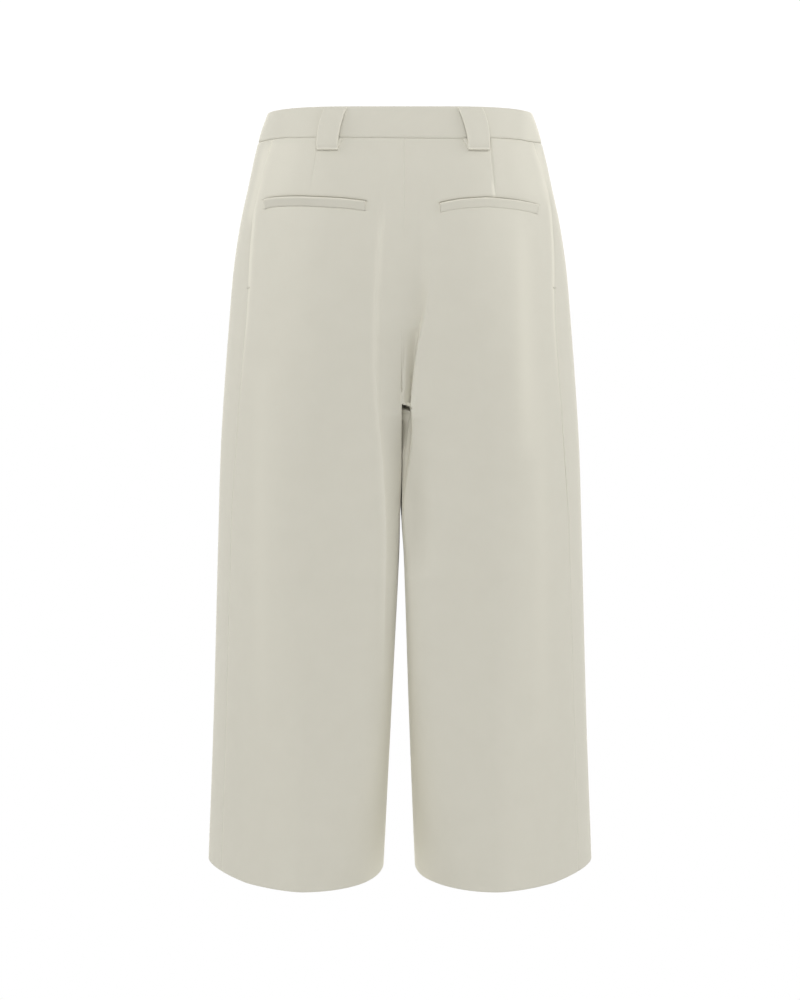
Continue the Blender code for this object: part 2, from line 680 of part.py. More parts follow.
def main():
    clear_scene()
    for side, word in ((1, "left"), (-1, "right")):
        leg_panels(side, word, material("cloth_" + word, CLOTH, CLOTH_ROUGHNESS))
    waistband(material("cloth_band", CLOTH, CLOTH_ROUGHNESS))
    for row in named(WELT_COLUMNS, WELTS):
        welt(row, material("cloth_" + row["name"], CLOTH, CLOTH_ROUGHNESS))
    for row in named(LOOP_COLUMNS, LOOPS):
        belt_loop(row, material("cloth_" + row["name"], CLOTH, CLOTH_ROUGHNESS))
    fly_zip(material("zip_tape", TAPE, 0.8))
    zip_slider(material("zip_metal", METAL, 0.35, 1.0))
    waist_button(material("button_horn", HORN, 0.4))


main()
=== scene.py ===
import math

import bmesh
import bpy
import numpy as np
from mathutils import Matrix, Vector


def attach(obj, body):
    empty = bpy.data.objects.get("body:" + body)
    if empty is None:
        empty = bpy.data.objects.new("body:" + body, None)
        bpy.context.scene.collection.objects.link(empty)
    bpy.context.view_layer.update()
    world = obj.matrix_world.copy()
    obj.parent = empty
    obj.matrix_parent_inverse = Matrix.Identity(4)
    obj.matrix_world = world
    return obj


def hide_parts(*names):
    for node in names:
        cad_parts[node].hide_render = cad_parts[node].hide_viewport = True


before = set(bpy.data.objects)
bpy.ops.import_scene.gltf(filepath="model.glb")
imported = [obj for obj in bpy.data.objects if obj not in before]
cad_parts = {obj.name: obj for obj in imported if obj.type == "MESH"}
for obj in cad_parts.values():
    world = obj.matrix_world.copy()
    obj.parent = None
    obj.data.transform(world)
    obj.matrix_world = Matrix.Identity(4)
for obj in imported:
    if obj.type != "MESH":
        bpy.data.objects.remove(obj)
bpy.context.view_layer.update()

# Metres, +Z up. The front faces -Y and the wearer's left is +X, as in the frame.

# curves and tables


def smoothCurve(xs, ys, at):
    # a curve through the points that never swings past them; xs rise
    xs = np.asarray(xs, float)
    ys = np.asarray(ys, float)
    at = np.clip(np.asarray(at, float), xs[0], xs[-1])
    step = np.diff(xs)
    slope = np.diff(ys) / step
    tangent = np.zeros(len(xs))
    tangent[0] = slope[0]
    tangent[-1] = slope[-1]
    for i in range(1, len(xs) - 1):
        if slope[i - 1] * slope[i] > 0:
            wide = 2 * step[i] + step[i - 1]
            narrow = step[i] + 2 * step[i - 1]
            tangent[i] = (wide + narrow) / (wide / slope[i - 1] + narrow / slope[i])
    cell = np.clip(np.searchsorted(xs, at, side="right") - 1, 0, len(step) - 1)
    part = (at - xs[cell]) / step[cell]
    start = (1 + 2 * part) * (1 - part) ** 2 * ys[cell]
    end = part**2 * (3 - 2 * part) * ys[cell + 1]
    leave = part * (1 - part) ** 2 * step[cell] * tangent[cell]
    arrive = part**2 * (part - 1) * step[cell] * tangent[cell + 1]
    return start + end + leave + arrive


def named(columns, rows):
    return [dict(zip(columns.split(), row)) for row in rows]


def columnCurve(table, name, height):
    # the value of a named column at a height; the rows of a table run downwards
    rows = table[::-1]
    return smoothCurve([row["height"] for row in rows], [row[name] for row in rows], height)


def bell(x, reach):
    return np.exp(-((x / reach) ** 2))


def ramp(x, start, end):
    # 0 before start, 1 after end, smooth between; end may be below start
    part = np.clip((x - start) / (end - start), 0, 1)
    return part * part * (3 - 2 * part)


def span(x, places):
    # 0 outside the first and the last of four places, 1 between the middle two
    start, full, last, end = places
    return ramp(x, start, full) * ramp(x, end, last)


# the garment's shape

cloth = {
    "wall": 0.0016,
    "seamGap": 0.0003,
    "bandTop": 0.0155,
    "bandBottom": -0.0150,
    "fork": -0.276,
    "hem": -0.760,
}

# the ring round the body at each height: half its width, its reach behind and before the side
# points, how much further back its middle bows, how far its middle lies off centre, and how
# much further off it lies behind than in front
bodyShape = named("height halfWidth back front bow middle lean", (
    (0.0155, 0.1340, 0.0900, 0.0870, 0.040, -0.0020, 0.0000),
    (-0.0150, 0.1437, 0.0980, 0.0925, 0.038, -0.0040, 0.0000),
    (-0.0600, 0.1540, 0.1090, 0.0980, 0.034, -0.0040, 0.0000),
    (-0.1000, 0.1628, 0.1160, 0.1020, 0.030, -0.0040, 0.0000),
    (-0.1500, 0.1702, 0.1215, 0.1055, 0.022, -0.0035, -0.0005),
    (-0.2000, 0.1746, 0.1235, 0.1075, 0.010, -0.0006, -0.0016),
    (-0.2600, 0.1795, 0.1225, 0.1085, 0.000, 0.0012, -0.0030),
    (-0.3300, 0.1841, 0.1205, 0.1090, 0.000, 0.0010, -0.0034),
    (-0.4000, 0.1867, 0.1198, 0.1093, 0.000, -0.0006, -0.0006),
    (-0.4300, 0.1877, 0.1195, 0.1095, 0.000, -0.0015, 0.0000),
    (-0.6000, 0.1933, 0.1210, 0.1110, 0.000, 0.0000, 0.0000),
    (-0.7600, 0.2000, 0.1255, 0.1150, 0.000, 0.0010, 0.0000),
))

# the run round one leg: its inner side, where it reaches furthest back, how square its inner
# and outer quarters are, how deep the inner quarters round in as a share of the depth, how much
# of that turn the middle seam cuts off in radians, and the share of the way to the side seam
legShape = named("height inner crown innerSquare outerSquare cleftBack cleftFront cutOff sideSeam", (
    (0.0155, 0.0000, 0.0480, 2.80, 2.20, 0.00, 0.00, 0.50, 0.402),
    (-0.0800, 0.0000, 0.0560, 2.80, 2.15, 0.00, 0.00, 0.50, 0.410),
    (-0.1600, 0.0000, 0.0630, 2.80, 2.10, 0.00, 0.00, 0.50, 0.396),
    (-0.2000, 0.0000, 0.0680, 2.80, 2.05, 0.00, 0.04, 0.50, 0.392),
    (-0.2600, 0.0000, 0.0760, 3.20, 2.01, 0.00, 0.14, 0.40, 0.391),
    (-0.2760, 0.0000, 0.0780, 3.60, 2.00, 0.01, 0.18, 0.15, 0.392),
    (-0.3000, 0.0002, 0.0800, 4.00, 1.98, 0.06, 0.21, 0.00, 0.393),
    (-0.3500, 0.0003, 0.0830, 4.00, 1.94, 0.10, 0.23, 0.00, 0.399),
    (-0.3900, 0.0006, 0.0855, 4.00, 1.90, 0.14, 0.26, 0.00, 0.404),
    (-0.4300, 0.0023, 0.0870, 3.80, 1.86, 0.20, 0.31, 0.00, 0.406),
    (-0.6000, 0.0093, 0.0910, 3.20, 1.70, 0.55, 0.62, 0.00, 0.416),
    (-0.7600, 0.0162, 0.0970, 2.10, 1.52, 0.95, 1.00, 0.00, 0.424),
))

# how the seat seam and the front seam curve in to the fork
middleSeams = {
    "back": {"start": -0.080, "lateness": 14.0, "roundness": 1.7},
    "front": {"start": -0.120, "lateness": 9.0, "roundness": 1.7},
}

# how far the right leg's inner side draws away from the left one, behind, how far behind the
# side points that starts and the run over which it grows
legOpening = named("height amount start run", (
    (-0.2745, 0.0000, 0.1060, 0.0045),
    (-0.2775, 0.0104, 0.1060, 0.0045),
    (-0.2850, 0.0104, 0.0995, 0.0080),
    (-0.3000, 0.0086, 0.1000, 0.0060),
    (-0.3200, 0.0058, 0.1020, 0.0038),
    (-0.3400, 0.0030, 0.1040, 0.0035),
    (-0.3640, 0.0006, 0.1065, 0.0030),
    (-0.3700, 0.0000, 0.1070, 0.0035),
))

layout = {
    "innerShare": 0.14,  # the share of the way round given to the inner wall
    "crownShare": 0.25,  # the share at which the ring reaches furthest back
    "innerFace": 0.016,  # where the panel's own face starts, from the inner side
    "openingReach": 0.030,
    "hemLift": 0.0040,  # how much higher the hem lies at the side seam
    "hemLiftStart": 0.155,
    "hemLiftRun": 0.045,
    "hemLiftTop": -0.600,
    "curveSteps": 480,  # points that a quarter of a ring is measured with
}


def travelledAlong(points):
    # how far along its line each point lies
    return np.concatenate([[0.0], np.cumsum(np.linalg.norm(np.diff(points, axis=0), axis=1))])


def alongLine(points, shares):
    travelled = travelledAlong(points)
    travelled /= travelled[-1]
    return np.column_stack([np.interp(shares, travelled, points[:, i]) for i in range(2)])


def middleAt(y, height):
    # where the middle of the garment lies at a depth and a height
    lean = columnCurve(bodyShape, "lean", height) * y / columnCurve(bodyShape, "back", height)
    return columnCurve(bodyShape, "middle", height) + lean


def ringQuarter(height, face, shares):
    # from the middle or inner seam to the side point, with y growing outwards
    leg = {name: float(columnCurve(legShape, name, height)) for name in legShape[0]}
    width = float(columnCurve(bodyShape, "halfWidth", height))
    depth = float(columnCurve(bodyShape, face, height))
    seam = middleSeams[face]
    fall = min(max((seam["start"] - height) / (seam["start"] - cloth["fork"]), 0.0), 1.0)
    seamDepth = depth * (1 - fall ** seam["lateness"]) ** (1 / seam["roundness"])
    innerBend = 2 / leg["innerSquare"]
    outerBend = 2 / leg["outerSquare"]
    innerTurn = np.linspace(leg["cutOff"], math.pi / 2, layout["curveSteps"])
    outerTurn = np.linspace(0, math.pi / 2, layout["curveSteps"])
    reach = (leg["crown"] - leg["inner"]) / math.cos(leg["cutOff"]) ** innerBend
    roundIn = depth * leg["cleftBack" if face == "back" else "cleftFront"]
    inwards = np.column_stack([
        leg["crown"] - reach * np.cos(innerTurn) ** innerBend,
        depth - roundIn * (1 - np.sin(innerTurn) ** innerBend),
    ])
    inwards = np.vstack([[leg["inner"], min(inwards[0, 1], seamDepth)], inwards])
    outwards = np.column_stack([
        leg["crown"] + (width - leg["crown"]) * np.sin(outerTurn) ** outerBend,
        depth * np.cos(outerTurn) ** outerBend,
    ])
    crownAt = 2 * layout["crownShare"]
    faceAt = 2 * layout["innerShare"]
    edge = np.searchsorted(inwards[:, 0], leg["inner"] + layout["innerFace"])
    wall = alongLine(inwards[: edge + 1], np.clip(shares / faceAt, 0, 1))
    near = alongLine(inwards[edge:], np.clip((shares - faceAt) / (crownAt - faceAt), 0, 1))
    far = alongLine(outwards, np.clip((shares - crownAt) / (1 - crownAt), 0, 1))
    run = np.where((shares < faceAt)[:, None], wall, near)
    run = np.where((shares < crownAt)[:, None], run, far)
    run[:, 1] *= 1 + columnCurve(bodyShape, "bow", height) * (1 - (run[:, 0] / width) ** 2)
    return run


def halfRing(height, side, shares):
    # one leg's run at a height: share 0 at the seat seam, 0.5 at the side, 1 at the front seam
    behind = ringQuarter(height, "back", np.minimum(2 * shares, 1.0))
    before = ringQuarter(height, "front", np.minimum(2 * (1 - shares), 1.0))
    before[:, 1] *= -1
    ring = np.where((shares <= 0.5)[:, None], behind, before)
    width = columnCurve(bodyShape, "halfWidth", height)
    shift = middleAt(ring[:, 1], height) * np.clip(1 - ring[:, 0] / width, 0, 1) ** 2
    if side < 0:
        amount, start, run = (columnCurve(legOpening, name, height) for name in ("amount", "start", "run"))
        opened = amount * np.clip((ring[:, 1] - start) / run, 0, 1)
        ring[:, 0] += opened * bell(ring[:, 0], layout["openingReach"])
    ring[:, 0] = side * ring[:, 0] + shift
    return ring


def gridNormals(grid, side):
    down = np.gradient(grid, axis=0)
    around = np.gradient(grid, axis=1)
    facing = np.cross(around, down) * side
    return facing / np.linalg.norm(facing, axis=2, keepdims=True)


# folds

# A path runs through three heights at xTop, xMiddle and xBottom. The reaches are its widths on
# the +X and the -X side, and push is how far it stands out (negative for a trough).
folds = named("face top bottom xTop xMiddle xBottom reachPlus reachMinus push", (
    # behind the left leg
    ("back", -0.20, -0.62, 0.128, 0.134, 0.142, 0.022, 0.022, 0.0026),
    ("back", -0.30, -0.72, 0.072, 0.078, 0.070, 0.026, 0.026, -0.0016),
    # behind the right leg
    ("back", -0.34, -0.74, -0.080, -0.070, -0.066, 0.026, 0.026, -0.0016),
    ("back", -0.08, -0.30, -0.117, -0.120, -0.122, 0.012, 0.016, 0.0020),
    ("back", -0.10, -0.62, -0.116, -0.130, -0.138, 0.024, 0.024, 0.0022),
    # in front
    ("front", -0.12, -0.66, 0.112, 0.122, 0.136, 0.022, 0.026, 0.0036),
    ("front", -0.16, -0.60, 0.030, 0.038, 0.034, 0.009, 0.014, 0.0036),
    ("front", -0.18, -0.38, 0.000, 0.002, 0.002, 0.014, 0.014, -0.0050),
    ("front", -0.17, -0.56, -0.028, -0.034, -0.030, 0.013, 0.008, 0.0036),
    ("front", -0.20, -0.70, 0.074, 0.080, 0.076, 0.018, 0.022, -0.0024),
    ("front", -0.24, -0.74, -0.078, -0.084, -0.074, 0.020, 0.018, -0.0024),
    ("front", -0.16, -0.60, -0.118, -0.128, -0.134, 0.024, 0.020, 0.0036),
))

foldPlan = {
    "start": 0.055,  # how far behind or before the side points the folds start
    "run": 0.030,
    "ends": 0.8,  # how slowly they die out at their ends
    "seam": 0.020,  # the stretch beside a middle seam where they move straight back or forth
    "unevenness": 0.00035,
    "plain": 0.03,  # the stretch beside a middle seam over which the slow waves grow
}

# slow waves that keep a plain stretch of cloth from looking pressed flat
waves = named("across down turn share", (
    (23.0, 9.0, 0.4, 1.00),
    (41.0, -13.0, 2.1, 0.70),
    (67.0, 21.0, 4.4, 0.45),
    (97.0, -31.0, 1.3, 0.30),
    (151.0, 44.0, 5.2, 0.18),
))


# The seat is a broad hollow between a pressed edge down the left leg and the right leg's edge,
# which stands over it. Widths are how far that edge takes to fall.
seatHollow = named("height leftEdge rightEdge depth width", (
    (-0.0550, 0.0160, -0.0250, 0.0000, 0.0160),
    (-0.1000, 0.0180, -0.0246, 0.0024, 0.0180),
    (-0.1400, 0.0210, -0.0243, 0.0044, 0.0160),
    (-0.1720, 0.0225, -0.0235, 0.0062, 0.0100),
    (-0.2010, 0.0232, -0.0200, 0.0076, 0.0036),
    (-0.2205, 0.0235, -0.0170, 0.0090, 0.0018),
    (-0.2450, 0.0232, -0.0138, 0.0110, 0.0014),
    (-0.2700, 0.0222, -0.0114, 0.0128, 0.0014),
    (-0.2820, 0.0212, -0.0108, 0.0110, 0.0014),
    (-0.3000, 0.0196, -0.0070, 0.0088, 0.0014),
    (-0.3500, 0.0156, -0.0030, 0.0070, 0.0014),
    (-0.4000, 0.0134, -0.0030, 0.0068, 0.0014),
    (-0.4800, 0.0147, -0.0030, 0.0044, 0.0014),
    (-0.5800, 0.0150, -0.0030, 0.0000, 0.0014),
))

# Each span says where a form starts, is full, starts to fade and ends: down the garment, or
# across it.
seat = {
    "roundness": 0.85,
    "forkFade": (0.0034, 0.0018),  # below the fork, where the right leg's part of it ends
    "crest": 0.0009,  # how far the left leg's pressed edge stands up
    "crestReach": 0.0026,
    "crestSpan": (-0.060, -0.100, -0.420, -0.560),
    "overhang": 0.0016,  # how far the right leg's edge hangs over the hollow
    "overhangReach": 0.0036,
    "overhangSpan": (-0.180, -0.220, -0.270, -0.300),
    "standing": 0.0020,  # how far the right leg's edge stands up
    "standingReach": 0.0170,
    "standingSpan": (-0.080, -0.180, -0.300, -0.400),
    "tongue": 0.0013,  # the small fold right over the fork
    "tongueAcross": (-0.0125, -0.0085, -0.0030, -0.0005),
    "tongueRun": (-0.2300, -0.2600),
    "tongueEnd": -0.2745,
    "droop": 0.0034,  # how much lower its foot hangs at the right leg
    "droopAcross": (-0.0005, -0.0115, -0.0140, -0.0260),
    "droopReach": 0.012,
}

# fine creases, each a straight groove from one point to another: x and z at both ends, how deep
# it is, its reaches on the +X and the -X side and how slowly it starts and ends
creases = named("x0 z0 x1 z1 depth reachPlus reachMinus ends", (
    (-0.0052, -0.2180, -0.0010, -0.2740, 0.0006, 0.0016, 0.0009, 0.5),
    (-0.0150, -0.2000, -0.0105, -0.2900, 0.0034, 0.0060, 0.0030, 0.5),
    (0.0005, -0.3640, 0.0122, -0.4000, 0.0007, 0.0008, 0.0030, 0.5),
    (-0.0040, -0.2860, -0.0110, -0.4450, 0.0118, 0.0145, 0.0190, 0.75),
    (-0.0130, -0.3950, -0.0120, -0.5000, 0.0005, 0.0040, 0.0090, 0.5),
))


def seatPush(x, z, side):
    # what the hollow and its edges add behind, by x and height, and how far they move sideways
    left = columnCurve(seatHollow, "leftEdge", z)
    right = columnCurve(seatHollow, "rightEdge", z)
    depth = columnCurve(seatHollow, "depth", z)
    width = columnCurve(seatHollow, "width", z)
    part = np.clip((x - right) / (left - right), 0, 1)
    rise = ramp(x, right - 0.5 * width, right + 0.5 * width)
    low, high = (cloth["fork"] - drop for drop in seat["forkFade"])
    hollow = 1.0 if side > 0 else ramp(z, low, high)
    push = -depth * np.clip(1 - part, 0, None) ** seat["roundness"] * rise * hollow
    push += seat["crest"] * span(z, seat["crestSpan"]) * bell(x - left, seat["crestReach"])
    above = span(z, seat["standingSpan"])
    push += seat["standing"] * above * (1 - rise) * bell(x - right, seat["standingReach"])
    tongue = span(x, seat["tongueAcross"]) * ramp(z, *seat["tongueRun"]) * (z > seat["tongueEnd"])
    push += seat["tongue"] * tongue
    for crease in creases:
        down = np.clip((crease["z0"] - z) / (crease["z0"] - crease["z1"]), 0, 1)
        path = crease["x0"] + (crease["x1"] - crease["x0"]) * down
        reach = np.where(x > path, crease["reachPlus"], crease["reachMinus"])
        push -= crease["depth"] * np.sin(math.pi * down) ** crease["ends"] * bell(x - path, reach)
    over = span(z, seat["overhangSpan"]) * (1 - rise) * (x < left)
    slide = seat["overhang"] * over * bell(x - right, seat["overhangReach"])
    return push, slide


def folded(grid, side):
    x, y, z = (grid[..., i] for i in range(3))
    grown = np.clip((np.abs(y) - foldPlan["start"]) / foldPlan["run"], 0, 1)
    fromSeam = np.abs(x - middleAt(y, z))
    push = np.zeros(x.shape)
    for fold in folds:
        onFace = y > 0 if fold["face"] == "back" else y < 0
        part = np.clip((fold["top"] - z) / (fold["top"] - fold["bottom"]), 0, 1)
        path = smoothCurve([0, 0.5, 1], [fold["xTop"], fold["xMiddle"], fold["xBottom"]], part)
        reach = np.where(x > path, fold["reachPlus"], fold["reachMinus"])
        fade = np.sin(math.pi * part) ** foldPlan["ends"] * grown * onFace
        push += fold["push"] * fade * bell(x - path, reach)
    for wave in waves:
        swing = np.sin(wave["across"] * (x + 0.35 * y) + wave["down"] * z + wave["turn"] + side)
        waving = grown * np.clip(fromSeam / foldPlan["plain"], 0, 1)
        push += foldPlan["unevenness"] * wave["share"] * swing * waving
    seated, slide = seatPush(x, z, side)
    foot = span(x, seat["droopAcross"]) * bell(z - cloth["fork"], seat["droopReach"])
    push += seated * grown * (y > 0)
    free = np.clip(fromSeam / foldPlan["seam"], 0, 1)[..., None]
    straight = np.stack([np.zeros(y.shape), np.sign(y), np.zeros(y.shape)], axis=2)
    way = free * gridNormals(grid, side) + (1 - free) * straight
    moved = grid + way * push[..., None]
    moved[..., 0] += slide * grown * (y > 0)
    moved[..., 2] -= seat["droop"] * foot * grown * (y > 0)
    return moved


def hemRise(x, height):
    # how much higher a point lies towards the side seam, near the hem
    lift = np.clip((np.abs(x) - layout["hemLiftStart"]) / layout["hemLiftRun"], 0, 1)
    low = np.clip((height - layout["hemLiftTop"]) / (cloth["hem"] - layout["hemLiftTop"]), 0, 1)
    return layout["hemLift"] * lift * low**2


def surfaceGrid(side, heights, shares):
    rows = []
    for height in heights:
        ring = halfRing(height, side, shares)
        rows.append(np.column_stack([ring, height + hemRise(ring[:, 0], height)]))
    return folded(np.array(rows), side)


# meshes


def meshPiece(name, points, quads, triangles, finish, uv=None, smooth=40, paintedHighlight=None):
    mesh = bpy.data.meshes.new(name)
    corners = np.concatenate([np.ravel(quads), np.ravel(triangles)]).astype(np.int32)
    starts = np.concatenate([4 * np.arange(len(quads)), 4 * len(quads) + 3 * np.arange(len(triangles))])
    mesh.vertices.add(len(points))
    mesh.vertices.foreach_set("co", np.asarray(points, np.float32).ravel())
    mesh.loops.add(len(corners))
    mesh.loops.foreach_set("vertex_index", corners)
    mesh.polygons.add(len(starts))
    mesh.polygons.foreach_set("loop_start", starts.astype(np.int32))
    mesh.update(calc_edges=True)
    if uv is not None:
        layer = mesh.uv_layers.new(name="clothGrain")
        layer.uv.foreach_set("vector", np.asarray(uv, np.float32)[corners].ravel())
    # the painted highlight: for each point, the share by which its colour is lightened
    if paintedHighlight is not None:
        marks = mesh.attributes.new("paintedHighlight", "FLOAT", "POINT")
        marks.data.foreach_set("value", np.asarray(paintedHighlight, np.float32).ravel())
    mesh.validate()
    mesh.shade_smooth()
    mesh.set_sharp_from_angle(angle=math.radians(smooth))
    mesh.materials.append(finish)
    piece = bpy.data.objects.new(name, mesh)
    bpy.context.scene.collection.objects.link(piece)
    faceOutwards(piece)
    return piece


def faceOutwards(piece):
    work = bmesh.new()
    work.from_mesh(piece.data)
    bmesh.ops.recalc_face_normals(work, faces=work.faces)
    work.to_mesh(piece.data)
    work.free()


def quadFaces(rows, columns, closed=False):
    # the quads of a grid of points; closed joins its last column to its first
    across = columns if closed else columns - 1
    row, column = np.meshgrid(np.arange(rows - 1), np.arange(across), indexing="ij")
    a = row * columns + column
    b = row * columns + (column + 1) % columns
    return np.stack([a, b, b + columns, a + columns], axis=-1).reshape(-1, 4)


def endCaps(count, around):
    # the triangles that close the first and the last ring of count points; the rings' two middles
    # follow those points
    step = np.arange(around)
    after = (step + 1) % around
    last = count - around
    return np.vstack([
        np.column_stack([after, step, np.full(around, count)]),
        np.column_stack([last + step, last + after, np.full(around, count + 1)]),
    ])


def walledPiece(name, outer, inner, uv, finish, smooth=40, paintedHighlight=None):
    # a closed wall between two grids of the same shape
    rows, columns = outer.shape[:2]
    count = rows * columns
    points = np.concatenate([outer.reshape(-1, 3), inner.reshape(-1, 3)])
    front = quadFaces(rows, columns)
    back = front[:, ::-1] + count
    index = np.arange(count).reshape(rows, columns)
    edge = np.concatenate([index[0, :-1], index[:-1, -1], index[-1, :0:-1], index[:0:-1, 0]])
    after = np.roll(edge, -1)
    rim = np.column_stack([edge, edge + count, after + count, after])
    quads = np.concatenate([front, back, rim])
    uvs = None if uv is None else np.concatenate([uv.reshape(-1, 2)] * 2)
    # painted highlights on the outer face only
    marks = None if paintedHighlight is None else np.concatenate([paintedHighlight.ravel(), np.zeros(count)])
    return meshPiece(name, points, quads, np.empty((0, 3), int), finish, uvs, smooth, marks)


def sideWord(side):
    return "Left" if side > 0 else "Right"


def onBody(piece, slotName, *nodes):
    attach(piece, "root")
    if nodes:
        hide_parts(*nodes)
    return piece


# materials


def addNode(tree, kind, place, **inputs):
    node = tree.nodes.new(kind)
    node.location = place
    for name, value in inputs.items():
        node.inputs[name.replace("_", " ")].default_value = value
    return node


def mathNode(tree, operation, place, first, second=None):
    node = tree.nodes.new("ShaderNodeMath")
    node.operation = operation
    node.location = place
    for number, value in enumerate((first, second)):
        if value is None:
            continue
        if isinstance(value, (int, float)):
            node.inputs[number].default_value = value
        else:
            tree.links.new(value, node.inputs[number])
    return node.outputs[0]


def newGroup(name, inputs, outputs):
    group = bpy.data.node_groups.new(name, "ShaderNodeTree")
    for label, kind, value in inputs:
        socket = group.interface.new_socket(name=label, in_out="INPUT", socket_type=kind)
        if value is not None:
            socket.default_value = value
    for label, kind in outputs:
        group.interface.new_socket(name=label, in_out="OUTPUT", socket_type=kind)
    entry = group.nodes.new("NodeGroupInput")
    entry.location = (-1000, 0)
    way = group.nodes.new("NodeGroupOutput")
    way.location = (600, 0)
    return group, entry, way


def makeWeaveGroup():
    # a fine plain weave: warp and weft threads that cross over each other, with slubs
    group, entry, way = newGroup(
        "fineWeave",
        [
            ("Grain", "NodeSocketVector", None),
            ("Threads", "NodeSocketFloat", 2200.0),
            ("Slub", "NodeSocketFloat", 0.35),
        ],
        [("Height", "NodeSocketFloat"), ("Thread", "NodeSocketFloat"), ("Mottle", "NodeSocketFloat")],
    )
    links = group.links
    split = addNode(group, "ShaderNodeSeparateXYZ", (-780, 0))
    links.new(entry.outputs["Grain"], split.inputs[0])
    threads = []
    for axis, level in (("X", 120), ("Y", -60)):
        count = mathNode(group, "MULTIPLY", (-600, level), split.outputs[axis], entry.outputs["Threads"])
        turn = mathNode(group, "MULTIPLY", (-510, level), count, math.pi)
        threads.append(mathNode(group, "SINE", (-420, level), turn))
    crossing = mathNode(group, "MULTIPLY", (-240, 60), *threads)
    slubs = addNode(group, "ShaderNodeTexNoise", (-600, -320), Scale=1.0, Detail=2.0, Roughness=0.6)
    stretch = addNode(group, "ShaderNodeMapping", (-780, -320))
    stretch.inputs["Scale"].default_value = (900.0, 90.0, 1.0)
    links.new(entry.outputs["Grain"], stretch.inputs["Vector"])
    links.new(stretch.outputs[0], slubs.inputs["Vector"])
    slubDepth = mathNode(group, "MULTIPLY", (-240, -220), slubs.outputs["Fac"], entry.outputs["Slub"])
    relief = mathNode(group, "MULTIPLY", (-150, 60), crossing, 0.5)
    height = mathNode(group, "ADD", (-60, 0), relief, slubDepth)
    links.new(height, way.inputs["Height"])
    thread = addNode(group, "ShaderNodeMapRange", (120, -160))
    thread.inputs["From Min"].default_value = -0.5
    thread.inputs["From Max"].default_value = 0.9
    links.new(height, thread.inputs["Value"])
    links.new(thread.outputs[0], way.inputs["Thread"])
    mottle = addNode(group, "ShaderNodeTexNoise", (-240, -480), Scale=34.0, Detail=4.0, Roughness=0.62)
    links.new(entry.outputs["Grain"], mottle.inputs["Vector"])
    links.new(mottle.outputs["Fac"], way.inputs["Mottle"])
    return group


def blankMaterial(name):
    made = bpy.data.materials.new(name)
    made.use_nodes = True
    return made, made.node_tree, made.node_tree.nodes["Principled BSDF"]


def twoTone(tree, place, factor, dark, light):
    # a colour between two, by a factor; each of the two is a colour or an output
    mix = addNode(tree, "ShaderNodeMix", place)
    mix.data_type = "RGBA"
    tree.links.new(factor, mix.inputs["Factor"])
    for label, colour in (("A", dark), ("B", light)):
        if isinstance(colour, tuple):
            mix.inputs[label].default_value = colour
        else:
            tree.links.new(colour, mix.inputs[label])
    return mix.outputs["Result"]


def addBump(tree, place, height, shader, **inputs):
    bump = addNode(tree, "ShaderNodeBump", place, **inputs)
    tree.links.new(height, bump.inputs["Height"])
    tree.links.new(bump.outputs[0], shader.inputs["Normal"])


def roughBetween(tree, place, factor, shader, least, most):
    rough = addNode(tree, "ShaderNodeMapRange", place)
    rough.inputs["To Min"].default_value = least
    rough.inputs["To Max"].default_value = most
    tree.links.new(factor, rough.inputs["Value"])
    tree.links.new(rough.outputs[0], shader.inputs["Roughness"])


def darker(colour, share):
    return tuple(share * c for c in colour[:3]) + (1.0,)


suiting = {
    "light": (0.635, 0.616, 0.538, 1.0),
    "dark": (0.575, 0.556, 0.478, 1.0),
    "roughness": 0.82,
    "sheen": 0.70,
    "sheenRoughness": 0.45,
    "threads": 2300.0,
    "relief": 0.00004,
    "specular": 0.25,
    "sheenTint": (1.0, 0.975, 0.86, 1.0),
    "paintedHighlight": (0.730, 0.706, 0.610, 1.0),  # the painted highlight's colour, lighter than the cloth, laid where light would catch it
}


def clothMaterial(name, look, weave):
    made, tree, shader = blankMaterial(name)
    grain = addNode(tree, "ShaderNodeUVMap", (-1000, 0))
    grain.uv_map = "clothGrain"
    woven = addNode(tree, "ShaderNodeGroup", (-780, 0))
    woven.node_tree = weave
    woven.inputs["Threads"].default_value = look["threads"]
    tree.links.new(grain.outputs[0], woven.inputs["Grain"])
    thread = mathNode(tree, "MULTIPLY", (-700, 220), woven.outputs["Thread"], 0.45)
    mottle = mathNode(tree, "MULTIPLY", (-700, 60), woven.outputs["Mottle"], 0.55)
    tone = mathNode(tree, "ADD", (-600, 160), thread, mottle)
    plain = twoTone(tree, (-420, 160), tone, look["dark"], look["light"])
    # painted highlights: a point attribute moves the cloth's colour towards the painted highlight colour
    highlightMask = addNode(tree, "ShaderNodeAttribute", (-420, 400))
    highlightMask.attribute_name = "paintedHighlight"
    highlighted = twoTone(tree, (-200, 260), highlightMask.outputs["Fac"], plain, look["paintedHighlight"])
    tree.links.new(highlighted, shader.inputs["Base Color"])
    uneven = mathNode(tree, "MULTIPLY", (-520, -60), woven.outputs["Mottle"], 0.10)
    rough = mathNode(tree, "ADD", (-420, -60), uneven, look["roughness"] - 0.05)
    tree.links.new(rough, shader.inputs["Roughness"])
    addBump(tree, (-240, -260), woven.outputs["Height"], shader, Strength=0.6, Distance=look["relief"])
    shader.inputs["Sheen Weight"].default_value = look["sheen"]
    shader.inputs["Sheen Roughness"].default_value = look["sheenRoughness"]
    shader.inputs["Sheen Tint"].default_value = look["sheenTint"]
    shader.inputs["Specular IOR Level"].default_value = look["specular"]
    return made


